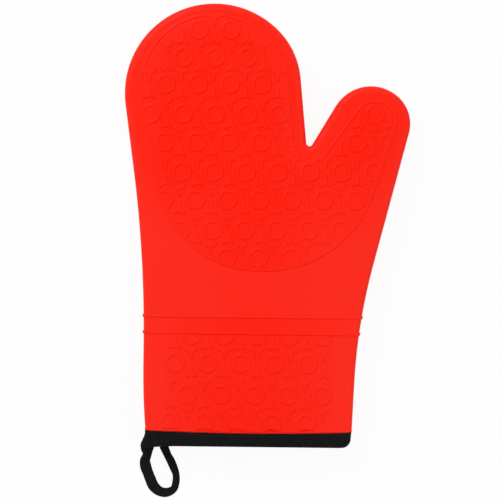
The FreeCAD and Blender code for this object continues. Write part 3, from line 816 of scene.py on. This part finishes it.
# Length over which the tape's edge wanders.
WANDER_LENGTH = 9 * MILLIMETRE


class MITT_OT_bound_hem(bpy.types.Operator):
    """Folds the binding tape and the loop's tail over the hem and sews them down"""

    bl_idname = "mitt.bound_hem"
    bl_label = "Bound Hem"

    def execute(self, context):
        """Makes binding_tape, hem_stitches and loop_tail_cloth."""
        s = settings().sewn
        lie = SoftLie()
        inner = settings().shell.wall + s.quilt_edge
        bm = folded_strip(-s.tape_proud, s.tape_height, inner, s.tape_turn_in)
        pucker(bm, s.tape_height)
        length, width = flat_size(bm)
        finish = tape_finish()
        tape = make_piece("binding_tape", bm, [finish], lie, sharp=60)
        thicken(tape, s.tape)
        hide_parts("cuff_binding")
        thread = make_piece("hem_stitches", sewn_row(-s.tape_proud, s.seam_height),
                            [thread_finish()], lie, sharp=180)

        # The tail stands out as far as the ribs do: the mitt rests on both.
        proud = settings().shell.emboss
        bm = folded_strip(-proud, s.tail_height, inner + s.tape, s.tail_height)
        cut(bm, (s.tail_end, 0, 0), (1, 0, 0), clear=True)
        length, width = flat_size(bm)
        tail = make_piece("loop_tail_cloth", bm, [finish], lie, sharp=60)
        thicken(tail, s.tail_cloth)
        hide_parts("loop_tail")
        return {"FINISHED"}


def thicken(piece, thickness):
    """Gives cloth its thickness, on the inside of its face."""
    solidify = piece.modifiers.new("Thickness", "SOLIDIFY")
    solidify.thickness = thickness
    solidify.offset = -1


def folded_strip(depth, height, inner_depth, turn_in):
    """A strip folded over the hem: its outer turn, the fold, and its inner turn."""
    bm = mitt_slab(depth, 0, settings().shell.side_radius - depth, STRIP_SPACING)
    cut(bm, (0, height, 0), (0, 1, 0), clear=True)
    divide_hem(bm, height)
    outer = set(bm.verts)
    bmesh.ops.solidify(bm, geom=bm.faces[:], thickness=inner_depth - depth)
    bm.normal_update()
    top = [face for face in bm.faces if face.normal.y > END_ON]
    bottom = [face for face in bm.faces if face.normal.y < -END_ON]
    for face in bottom:
        for vert in face.verts:
            vert.co.y = 0
    for vert in {vert for face in top for vert in face.verts}:
        vert.co.y = height
    bmesh.ops.delete(bm, geom=top, context="FACES")
    for edge in open_edges(bm):
        for vert in edge.verts:
            if vert not in outer:
                vert.co.y = turn_in
    fold = {edge for face in bottom for edge in face.edges
            if edge.calc_face_angle(0) > FOLD_ANGLE}
    bmesh.ops.bevel(bm, geom=list(fold), offset=(inner_depth - depth) * FOLD_ROUND,
                    offset_type="OFFSET", segments=4, profile=0.5, affect="EDGES",
                    clamp_overlap=True, material=-1)
    bmesh.ops.recalc_face_normals(bm, faces=bm.faces)
    if max(bm.faces, key=lambda face: face.calc_center_median().z).normal.z < 0:
        bmesh.ops.reverse_faces(bm, faces=bm.faces)
    return bm


def pucker(bm, height):
    """Lets the tape's outer edge wander as a sewn edge does."""
    s = settings().sewn
    for edge in open_edges(bm):
        for vert in edge.verts:
            if abs(vert.co.y - height) < CLOSE:
                vert.co.y = height + s.pucker * noise.noise(vert.co / WANDER_LENGTH)


def flat_size(bm):
    """Length and width of a folded strip laid flat: its open edges run along its length."""
    area = sum(face.calc_area() for face in bm.faces)
    length = sum(edge.calc_length() for edge in open_edges(bm)) / 2
    return length, area / length


def hem_line(depth, height, spacing):
    """Points evenly along the cuff's skin at a height, each with its heading and its outside."""
    bm = mitt_slab(depth, 0, settings().shell.side_radius - depth)
    cut(bm, (0, height, 0), (0, 1, 0), clear=True)
    edges = [edge for edge in open_edges(bm)
             if all(abs(vert.co.y - height) < CLOSE for vert in edge.verts)]
    vert, edge, walked = edges[0].verts[0], edges[0], 0.0
    for _ in edges:
        other = edge.other_vert(vert)
        step = other.co - vert.co
        while walked < step.length:
            way = step.normalized()
            place = vert.co + way * walked
            out = way.cross(Vector((0, 1, 0)))
            centre = Vector((0, height, MIDDLE))
            yield place, way, out if out.dot(place - centre) > 0 else -out
            walked += spacing
        walked -= step.length
        vert = other
        edge = next(item for item in other.link_edges if item in edges and item != edge)
    bm.free()


def add_stitch(bm, place, way, out, length):
    """One stitch: a short bead of thread, half sunk in the cloth."""
    half = settings().sewn.thread / 2
    side = way.cross(out)
    turn = Matrix((side * half, out * half, way * length / 2)).transposed().to_4x4()
    bmesh.ops.create_uvsphere(bm, u_segments=6, v_segments=5, radius=1,
                              matrix=Matrix.Translation(place) @ turn)


def sewn_row(depth, height):
    """A row of stitches round the cuff."""
    s = settings().sewn
    bm = bmesh.new()
    for place, way, out in hem_line(depth, height, s.stitch_length + s.stitch_gap):
        add_stitch(bm, place, way, out, s.stitch_length)
    return bm


# ---------------------------------------------------------------- quilted liner

# Cuts from one seam to the next, both ways the seams run, and the least part along Z of the
# normals of the faces that they cut.
QUILT_STEPS = 8
QUILT_WAYS = (math.pi / 4, -math.pi / 4)
QUILT_FLAT = 0.999

# A face of the pad's rim has less than this part of its normal along Z.
RIM_FLAT = 0.9

# Air in the wadding, steps to a frame, and the frames that it takes to swell.
PRESSURE = 4
CLOTH_STEPS = 4
SWELL_FRAMES = 20


class MITT_OT_quilted_liner(bpy.types.Operator):
    """Quilts the padded cotton liner of the palm and of the back"""

    bl_idname = "mitt.quilted_liner"
    bl_label = "Quilted Liner"

    def execute(self, context):
        """Makes palm_liner and back_liner."""
        s = settings().sewn
        depth = settings().shell.wall + s.slack
        bm = mitt_slab(depth, s.tape + s.slack, settings().shell.side_radius - depth)
        cut(bm, (0, 0, MIDDLE + s.slack / 2), (0, 0, -1), clear=True)
        quilt_lines(bm)
        bmesh.ops.solidify(bm, geom=bm.faces[:], thickness=s.quilt_seam)
        swell_quilt(bm)
        back = bm.copy()
        bmesh.ops.scale(back, verts=back.verts, vec=(1, 1, -1),
                        space=Matrix.Translation((0, 0, -MIDDLE)))
        bmesh.ops.reverse_faces(back, faces=back.faces)
        finish = cotton_finish()
        lie = SoftLie(lifts=False)
        for side, half in (("palm", bm), ("back", back)):
            liner = make_piece(f"{side}_liner", half, [finish], lie, sharp=180)
            subdivide = liner.modifiers.new("Subdivision", "SUBSURF")
            subdivide.levels = subdivide.render_levels = 1
            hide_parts(f"{side}_batting", f"{side}_lining")
        return {"FINISHED"}


def quilt_lines(bm):
    """Cuts the flat face along the quilting seams and evenly between them."""
    step = settings().sewn.quilt_pitch / QUILT_STEPS
    for direction in QUILT_WAYS:
        way = heading(direction).to_3d()
        reach = [vert.co.dot(way) for vert in bm.verts]
        for number in range(math.ceil(min(reach) / step), math.ceil(max(reach) / step)):
            flat = [face for face in bm.faces if face.normal.z > QUILT_FLAT]
            parts = {item for face in flat for item in (*face.verts, *face.edges)}
            bmesh.ops.bisect_plane(bm, geom=[*parts, *flat], dist=CLOSE, plane_no=way,
                                   plane_co=way * (step * number))


def on_seam(place):
    """Whether a point lies on a quilting seam."""
    pitch = settings().sewn.quilt_pitch
    for direction in QUILT_WAYS:
        across = place.dot(heading(direction).to_3d()) / pitch
        if abs(across - round(across)) * pitch < 10 * CLOSE:
            return True
    return False


def swell_quilt(bm):
    """Blows up the wadding between the seams, which stay where they are sewn."""
    s = settings().sewn
    bm.normal_update()
    inner = face_height() - settings().shell.wall - s.slack - s.quilt_seam
    held = bm.verts.layers.deform.verify()
    free = []
    for vert in bm.verts:
        inside = abs(vert.co.z - MIDDLE - inner) < CLOSE and vert.normal.z < -FLAT
        edge = any(face.normal.z > -RIM_FLAT for face in vert.link_faces)
        if inside and not edge and not on_seam(vert.co):
            free.append(vert)
        else:
            vert[held][0] = 1.0
    mesh = bpy.data.meshes.new("quilt")
    bm.to_mesh(mesh)
    quilt = bpy.data.objects.new("quilt", mesh)
    quilt.vertex_groups.new(name="held")
    scene = bpy.context.scene
    scene.collection.objects.link(quilt)
    cloth = quilt.modifiers.new("Cloth", "CLOTH")
    cloth.settings.vertex_group_mass = "held"
    cloth.settings.use_pressure = True
    cloth.settings.uniform_pressure_force = PRESSURE
    cloth.settings.effector_weights.gravity = 0
    cloth.settings.quality = CLOTH_STEPS
    cloth.collision_settings.use_collision = False
    cloth.point_cache.frame_start, cloth.point_cache.frame_end = 1, SWELL_FRAMES
    for number in range(1, SWELL_FRAMES + 1):
        scene.frame_set(number)
    swollen = quilt.evaluated_get(bpy.context.evaluated_depsgraph_get()).to_mesh()
    bm.verts.index_update()
    for vert in free:
        move = swollen.vertices[vert.index].co - vert.co
        if move.length > s.quilt_puff:
            move *= s.quilt_puff / move.length
        vert.co += move
    scene.frame_set(1)
    bpy.data.objects.remove(quilt)
    bpy.data.meshes.remove(mesh)


# ---------------------------------------------------------------- hanging loop

# Sections from one point of the route to the next, and sides of the section's fold and flats.
ROUTE_STEPS = 5
SECTION_STEPS = 6

# The tape's roll: how far, in radians, over what length, and where in the noise it is read.
ROLL = 0.14
ROLL_LENGTH = 11 * MILLIMETRE
ROLL_NOISE = 3.7

# Middle of the folded tape and its width, in millimetres, from one sewn end to the other.
LOOP_ROUTE = (
    (-76.4, -0.4, 9.6), (-76.7, -2.8, 9.8), (-76.7, -7.4, 6.8), (-78.2, -12.0, 7.8),
    (-77.6, -16.4, 8.5), (-75.9, -21.1, 8.0), (-74.1, -25.7, 8.2), (-71.5, -31.2, 8.2),
    (-66.8, -35.1, 7.3), (-61.4, -35.8, 6.8), (-56.3, -33.1, 5.6), (-54.6, -27.5, 5.5),
    (-54.7, -22.1, 5.3), (-56.5, -16.9, 6.0), (-58.6, -12.1, 6.2), (-61.1, -7.6, 5.9),
    (-63.2, -2.9, 6.4), (-64.2, -0.4, 6.9))


class MITT_OT_hanging_loop(bpy.types.Operator):
    """Folds a length of tape into the hanging loop"""

    bl_idname = "mitt.hanging_loop"
    bl_label = "Hanging Loop"

    def execute(self, context):
        """Makes loop_tape."""
        s = settings().sewn
        route = [Vector(point) * MILLIMETRE for point in LOOP_ROUTE]
        stations = list(through(route, ROUTE_STEPS))
        bm = bmesh.new()
        edges = folded_section(bm)
        along = bm.verts.layers.float.new("along")
        across = bm.verts.layers.float.new("across")
        verts = bm.verts[:]
        for vert in verts:
            vert[across] = vert.co.x
        placed, walked = Matrix.Identity(4), 0.0
        for number, (place, way) in enumerate(stations):
            if number:
                made = bmesh.ops.extrude_edge_only(bm, edges=edges)["geom"]
                verts = verts_in(made)
                edges = [item for item in made if isinstance(item, bmesh.types.BMEdge)
                         and all(vert in verts for vert in item.verts)]
                walked += (place.xy - stations[number - 1][0].xy).length
            frame_here = self.frame_at(place, way, walked)
            bmesh.ops.transform(bm, matrix=frame_here @ placed.inverted(), verts=verts)
            placed = frame_here
            for vert in verts:
                vert[along] = walked
        bmesh.ops.recalc_face_normals(bm, faces=bm.faces)
        width = sum(face.calc_area() for face in bm.faces) / walked
        loop = make_piece("loop_tape", bm, [loop_finish()], body="loop", sharp=70)
        thicken(loop, s.loop_cloth)
        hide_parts("hanging_loop")
        return {"FINISHED"}

    def frame_at(self, place, way, walked):
        """Where the tape's section stands: place, heading, width, thickness and slight roll."""
        s = settings().sewn
        roll = ROLL * noise.noise(Vector((walked / ROLL_LENGTH, ROLL_NOISE, 0)))
        side = Matrix.Rotation(roll, 3, way.to_3d()) @ Vector((-way.y, way.x, 0))
        up = way.to_3d().cross(side)
        if up.z < 0:
            up.negate()
        wide = place.z / s.loop_width
        height = s.loop_thickness / 2 + abs(side.z) * place.z / 2
        turn = Matrix((side * wide, up, way.to_3d())).transposed().to_4x4()
        return Matrix.Translation((place.x, place.y, height)) @ turn


def folded_section(bm):
    """The section of a tape folded in two lengthwise, open towards the loop's eye."""
    s = settings().sewn
    half, round_fold = s.loop_width / 2, s.loop_thickness / 2
    vert = bmesh.ops.create_vert(bm, co=(half, round_fold, 0))["vert"][0]
    for way, turned in ((-1, True), (1, False)):
        for _ in range(SECTION_STEPS):
            vert = bmesh.ops.extrude_vert_indiv(bm, verts=[vert])["verts"][0]
            move = way * (2 * half - round_fold) / SECTION_STEPS
            bmesh.ops.translate(bm, verts=[vert], vec=(move, 0, 0))
        if turned:
            made = bmesh.ops.spin(bm, geom=[vert], cent=(round_fold - half, 0, 0),
                                  axis=(0, 0, 1), angle=math.pi, steps=SECTION_STEPS,
                                  use_merge=False)
            vert = verts_in(made["geom_last"])[0]
    return bm.edges[:]


def through(points, steps):
    """Places and headings along a smooth line through points; z is the tape's width there."""
    ends = [points[0] * 2 - points[1]] + points + [points[-1] * 2 - points[-2]]
    for before, start, end, after in zip(ends, ends[1:], ends[2:], ends[3:]):
        for number in range(steps):
            t = number / steps
            place = (start + (end - before) * (t / 2)
                     + (before - start * 2.5 + end * 2 - after / 2) * t ** 2)
            place += (start * 1.5 - end * 1.5 + (after - before) / 2) * t ** 3
            way = ((end - before) / 2 + (before * 2 - start * 5 + end * 4 - after) * t
                   + (start * 4.5 - end * 4.5 + (after - before) * 1.5) * t ** 2)
            yield place, way.xy.normalized()
    yield points[-1], (points[-1] - points[-2]).xy.normalized()


# ---------------------------------------------------------------- finishes

class Value:
    """A number that changes over a surface, which takes part in sums."""

    def __init__(self, finish, socket):
        self.finish = finish
        self.socket = socket

    def sum(self, operation, *terms):
        """The value that a Math node works out of some terms."""
        node = self.finish.node("ShaderNodeMath", {"operation": operation},
                                dict(enumerate(terms)))
        return Value(self.finish, node.outputs[0])

    def __add__(self, other):
        return self.sum("ADD", self, other)

    def __sub__(self, other):
        return self.sum("SUBTRACT", self, other)

    def __rsub__(self, other):
        return self.sum("SUBTRACT", other, self)

    def __mul__(self, other):
        return self.sum("MULTIPLY", self, other)

    def __truediv__(self, other):
        return self.sum("DIVIDE", self, other)

    def __rtruediv__(self, other):
        return self.sum("DIVIDE", other, self)

    def sine(self):
        """Its sine, as an angle in radians."""
        return self.sum("SINE", self)

    def size(self):
        """Its size without the sign."""
        return self.sum("ABSOLUTE", self)

    def clamped(self):
        """The same value kept from 0 to 1."""
        return self.sum("MINIMUM", self.sum("MAXIMUM", self, 0.0), 1.0)

    __radd__ = __add__
    __rmul__ = __mul__


class Nodes:
    """The nodes of a material or of the world."""

    def __init__(self, owner):
        owner.use_nodes = True
        self.tree = owner.node_tree

    def node(self, kind, how, inputs):
        """A node of a kind with its settings, then the values or links of its sockets."""
        made = self.tree.nodes.new(kind)
        for name, value in how.items():
            setattr(made, name, value)
        for name, value in inputs.items():
            source = value.socket if isinstance(value, Value) else value
            if isinstance(source, bpy.types.NodeSocket):
                self.tree.links.new(source, made.inputs[name])
            else:
                made.inputs[name].default_value = source
        return made

    def shown_white(self, shader, output, kind, share=1.0):
        """Shows white to the camera, in mirrors and through glass, and lights as it would."""
        path = self.node("ShaderNodeLightPath", {}, {})
        seen = [Value(self, path.outputs[name])
                for name in ("Is Camera Ray", "Is Glossy Ray", "Is Transmission Ray")]
        white = self.node(kind, {}, {"Color": (1, 1, 1, 1), "Strength": 1.0})
        mix = self.node("ShaderNodeMixShader", {}, {
            0: (seen[0] + seen[1] + seen[2]).clamped() * share, 1: shader.outputs[0],
            2: white.outputs[0]})
        self.tree.links.new(mix.outputs[0], self.tree.nodes[output].inputs["Surface"])


class Finish(Nodes):
    """A material being put together on its own object's coordinates."""

    def __init__(self, name, roughness, specular=0.5, **fixed):
        self.material = bpy.data.materials.new(name)
        super().__init__(self.material)
        self.shader = self.tree.nodes["Principled BSDF"]
        self.shader.inputs["Roughness"].default_value = roughness
        self.shader.inputs["Specular IOR Level"].default_value = specular
        for name, value in fixed.items():
            self.shader.inputs[name.replace("_", " ").title()].default_value = value
        self.place = self.node("ShaderNodeTexCoord", {}, {}).outputs["Object"]

    def axes(self):
        """The three coordinates, in millimetres."""
        split = self.node("ShaderNodeSeparateXYZ", {}, {0: self.place})
        return [Value(self, socket) * (1 / MILLIMETRE) for socket in split.outputs]

    def noise(self, grain, detail=3.0, roughness=0.55):
        """Noise from 0 to 1 whose grain is a length in millimetres."""
        made = self.node("ShaderNodeTexNoise", {}, {
            "Vector": self.place, "Scale": 1 / (grain * MILLIMETRE), "Detail": detail,
            "Roughness": roughness})
        return Value(self, made.outputs["Fac"])

    def attribute(self, name):
        """A number that the mesh carries."""
        made = self.node("ShaderNodeAttribute", {"attribute_name": name}, {})
        return Value(self, made.outputs["Fac"])

    def blend(self, amount, first, second):
        """A colour between two plain ones, by an amount."""
        return self.mix(amount, (*first, 1), (*second, 1))

    def mix(self, amount, first, second):
        """A colour between two, each plain or from a socket."""
        made = self.node("ShaderNodeMix", {"data_type": "RGBA"}, {
            0: amount, 6: first, 7: second})
        return made.outputs[2]

    def set(self, name, source):
        """Feeds one of the shader's sockets."""
        socket = source.socket if isinstance(source, Value) else source
        self.tree.links.new(socket, self.shader.inputs[name])

    def bump(self, height, depth, strength=1.0):
        """Turns a height from 0 to 1 into bumps that are a depth in millimetres."""
        made = self.node("ShaderNodeBump", {}, {
            "Height": height, "Distance": depth * MILLIMETRE, "Strength": strength})
        self.set("Normal", made.outputs[0])


def shade(tint, amount):
    """A colour made lighter or darker."""
    return tuple(min(1.0, part * amount) for part in tint)


def waves(distance, length):
    """A sine along a distance, from -1 to 1, with waves of a length; both in millimetres."""
    return (distance * (math.tau / length)).sine()


def woven(finish, tint, length, width, rib, thread):
    """Narrow woven tape: ribs along it, threads across, a dusting of lint."""
    rows = waves(width, rib)
    weave = rows * 0.35 + rows * waves(length, thread) * 0.25 + 0.5
    lint = finish.noise(grain=3.0) * 0.5
    dark, pale = shade(tint, 0.3), shade(tint, 2.2)
    finish.set("Base Color", finish.blend(weave * 0.5 + lint, dark, pale))
    finish.set("Roughness", 0.8 + finish.noise(grain=4.0) * 0.15)
    finish.bump(weave + finish.noise(grain=0.4) * 0.4, depth=0.14, strength=0.9)
    return finish.material


# What tape and loop have in common, and the pitch of the threads that cross them.
TAPE_GLOSS = {"roughness": 0.85, "specular": 0.05, "sheen_weight": 0.03, "sheen_roughness": 0.4}
TAPE_THREAD = 0.7

# The mesh's distance across the loop is in metres, and times this it stretches the ribs so
# far that they hardly show. The second is the loop's colour against the binding's.
LOOP_ACROSS = 3.9
LOOP_SHADE = 1.15


def tape_finish():
    """Black tape whose ribs run round the hem."""
    tint = tuple(settings().colours.tape)
    finish = Finish("woven_tape", **TAPE_GLOSS)
    x, y, z = finish.axes()
    return woven(finish, tint, length=x + z, width=y, rib=1.1, thread=TAPE_THREAD)


def loop_finish():
    """The same tape folded lengthwise, with its ribs along the loop."""
    tint = shade(tuple(settings().colours.tape), LOOP_SHADE)
    finish = Finish("woven_loop", **TAPE_GLOSS)
    along = finish.attribute("along") * (1 / MILLIMETRE)
    across = finish.attribute("across") * LOOP_ACROSS
    return woven(finish, tint, length=along, width=across, rib=1.0, thread=TAPE_THREAD)


def thread_finish():
    """Black twisted sewing thread."""
    tint = tuple(settings().colours.thread)
    finish = Finish("sewing_thread", roughness=0.55, specular=0.2)
    x, y, z = finish.axes()
    twist = waves(x + y + z, 0.5) * 0.5 + 0.5
    finish.set("Base Color", finish.blend(twist, shade(tint, 0.6), shade(tint, 1.5)))
    finish.bump(twist, depth=0.05, strength=0.6)
    return finish.material


# The cotton: pitch of its weave, width of a quilting thread, length of a stitch with its gap,
# and how sharply a stitch ends.
COTTON_WEAVE = 0.8
QUILT_THREAD = 0.45
QUILT_STITCH = 3.2
STITCH_ENDS = 6


def cotton_finish():
    """Plain-weave cotton, sewn in lozenges with running stitches."""
    tint = tuple(settings().colours.cotton)
    finish = Finish("quilted_cotton", roughness=0.9, specular=0.2, sheen_weight=0.25,
                    sheen_roughness=0.5)
    x, y, _ = finish.axes()
    weave = (waves(x, COTTON_WEAVE) * waves(y, COTTON_WEAVE)) * 0.5 + 0.5
    pitch = settings().sewn.quilt_pitch / MILLIMETRE
    rising, falling = (x + y) * math.sqrt(0.5), (x - y) * math.sqrt(0.5)
    sewn = 0.0
    for over, along in ((rising, falling), (falling, rising)):
        off_seam = (over * (math.pi / pitch)).sine().size()
        near = 1 - off_seam * (pitch / math.pi / QUILT_THREAD)
        dash = (waves(along, QUILT_STITCH) + 0.35) * STITCH_ENDS
        sewn = sewn + near.clamped() * dash.clamped()
    worn = weave * 0.5 + finish.noise(grain=6.0) * 0.5
    cloth = finish.blend(worn, shade(tint, 0.86), shade(tint, 1.1))
    finish.set("Base Color", finish.mix(sewn.clamped(), cloth, (*shade(tint, 1.35), 1)))
    raised = weave * 0.35 + sewn * 1.5 + finish.noise(grain=0.6) * 0.3
    finish.bump(raised, depth=0.16, strength=0.8)
    return finish.material


# Painted sheen: the silicone is painted paler below a height and outwards from the middle, each
# over a length, in millimetres. The last is how much of the rest the sides take.
PAINTED_SHEEN_BELOW, PAINTED_SHEEN_OVER = 215, 60
SIDE_SHEEN_FROM, SIDE_SHEEN_OVER = 15, 40
SIDE_SHEEN_SHARE = 0.6

# The mould's woven grain on the pattern, and how strongly the silicone is painted paler with sheen
# there and elsewhere.
TWILL_PITCH = 1.7
TWILL_PAINTED_SHEEN, SMOOTH_PAINTED_SHEEN = 0.7, 0.15


def silicone_base(name, painted_sheen):
    """Satin red silicone, painted paler with sheen towards the mitt's edge and low down, with a
    faint speckle.
    """
    finish = Finish(name, roughness=0.4, specular=0.08)
    x, y, _ = finish.axes()
    low = ((PAINTED_SHEEN_BELOW - y) / PAINTED_SHEEN_OVER).clamped()
    side = ((x.size() - SIDE_SHEEN_FROM) / SIDE_SHEEN_OVER).clamped()
    # Painted sheen: paler near the edge, below a height and out at the sides, with slow blotches
    # of painted highlight.
    pale = (finish.attribute("edge") * (1 - painted_sheen)
            + low * (painted_sheen + side * (SIDE_SHEEN_SHARE * (1 - painted_sheen)))
            + (finish.noise(grain=45.0, detail=2.0) - 0.5) * 0.5)
    speck = finish.noise(grain=0.9, detail=2.0) * 0.2 - 0.1
    c = settings().colours
    finish.set("Base Color", finish.blend((pale + speck).clamped(), c.silicone, c.painted_sheen))
    finish.set("Roughness", 0.34 + finish.noise(grain=18.0) * 0.1)
    return finish


def silicone_finish():
    """The silicone where the mould is smooth."""
    finish = silicone_base("silicone_smooth", SMOOTH_PAINTED_SHEEN)
    finish.bump(finish.noise(grain=0.5, detail=2.0), depth=0.03, strength=0.6)
    return finish.material


def twill_finish():
    """The same silicone where the mould carries a fine woven grain."""
    finish = silicone_base("silicone_twill", TWILL_PAINTED_SHEEN)
    x, y, _ = finish.axes()
    turn = math.tau / TWILL_PITCH / math.sqrt(2)
    grain = (x * turn).sine() * (y * turn).sine() * 0.5 + 0.5
    rough = finish.noise(grain=0.5, detail=2.0) * 0.3
    finish.bump(grain + rough, depth=0.16, strength=0.8)
    return finish.material


# ---------------------------------------------------------------- stage

# Half the floor's width, and how far the camera sees white in place of its own colour.
FLOOR_HALF = 3.0
FLOOR_WHITE = 0.93

# Place and width of each lamp.
KEY_PLACE, KEY_WIDTH = (-1.0, 1.6, 1.8), 1.0
FILL_PLACE, FILL_WIDTH = (1.4, -0.7, 1.6), 1.4


class MITT_OT_stage(bpy.types.Operator):
    """Lays the floor and sets the lamps and the camera"""

    bl_idname = "mitt.stage"
    bl_label = "Stage"

    def execute(self, context):
        """Makes all that isn't the mitt."""
        lay_floor()
        hang_lamps()
        set_camera()
        return {"FINISHED"}


def lay_floor():
    """A pale floor that shows white to the camera and keeps a soft shadow."""
    bm = bmesh.new()
    bmesh.ops.create_grid(bm, x_segments=1, y_segments=1, size=FLOOR_HALF)
    mesh = bpy.data.meshes.new("floor")
    bm.to_mesh(mesh)
    bm.free()
    floor = bpy.data.objects.new("floor", mesh)
    bpy.context.scene.collection.objects.link(floor)
    finish = Finish("floor", roughness=0.9, specular=0.1)
    finish.shader.inputs["Base Color"].default_value = (*settings().colours.floor, 1)
    finish.shown_white(finish.shader, "Material Output", "ShaderNodeEmission", FLOOR_WHITE)
    mesh.materials.append(finish.material)


def hang_lamps():
    """Two wide lamps and a white room."""
    s = settings().stage
    for name, watts, place, width in (("key_lamp", s.key_power, KEY_PLACE, KEY_WIDTH),
                                      ("fill_lamp", s.fill_power, FILL_PLACE, FILL_WIDTH)):
        light = bpy.data.lights.new(name, "AREA")
        light.energy = watts
        light.size = width
        lamp = bpy.data.objects.new(name, light)
        lamp.location = place
        aim = Vector((0, s.view_y, 0)) - Vector(place)
        lamp.rotation_euler = aim.to_track_quat("-Z", "Y").to_euler()
        bpy.context.scene.collection.objects.link(lamp)
    world = bpy.data.worlds.new("room")
    room = Nodes(world)
    background = room.tree.nodes["Background"]
    background.inputs["Color"].default_value = (1, 1, 1, 1)
    background.inputs["Strength"].default_value = s.world_light
    room.shown_white(background, "World Output", "ShaderNodeBackground")
    bpy.context.scene.world = world
    bpy.context.scene.view_settings.view_transform = "Standard"


def set_camera():
    """A long lens square to the palm."""
    s = settings().stage
    lens = bpy.data.cameras.new("camera")
    lens.lens = lens.sensor_width * s.distance / s.view_width
    camera = bpy.data.objects.new("camera", lens)
    camera.location = (s.view_x, s.view_y, MIDDLE + s.distance)
    camera.rotation_euler = (0, 0, s.view_roll)
    bpy.context.scene.collection.objects.link(camera)
    bpy.context.scene.camera = camera


class MITT_PT_panel(bpy.types.Panel):
    """Lists the steps that make the mitt"""

    bl_idname = "MITT_PT_panel"
    bl_label = "Oven Mitt"
    bl_space_type = "VIEW_3D"
    bl_region_type = "UI"
    bl_category = "Oven Mitt"

    def draw(self, context):
        """Draws one button for each step."""
        for operator in OPERATORS:
            self.layout.operator(operator.bl_idname)


OPERATORS = (MITT_OT_silicone_shell, MITT_OT_bound_hem, MITT_OT_quilted_liner,
             MITT_OT_hanging_loop, MITT_OT_stage)
CLASSES = (OutlineSizes, ShellSizes, GripSizes, SewnSizes, Colours, StageSizes, OvenMitt,
           *OPERATORS, MITT_PT_panel)


def register():
    """Adds the classes and the sizes to Blender."""
    for item in CLASSES:
        bpy.utils.register_class(item)
    bpy.types.Scene.oven_mitt = PointerProperty(type=OvenMitt)


def unregister():
    """Takes them out again."""
    del bpy.types.Scene.oven_mitt
    for item in reversed(CLASSES):
        bpy.utils.unregister_class(item)


def main():
    """Makes everything in order."""
    register()
    for operator in OPERATORS:
        group, name = operator.bl_idname.split(".")
        getattr(getattr(bpy.ops, group), name)()


if __name__ == "__main__":
    main()
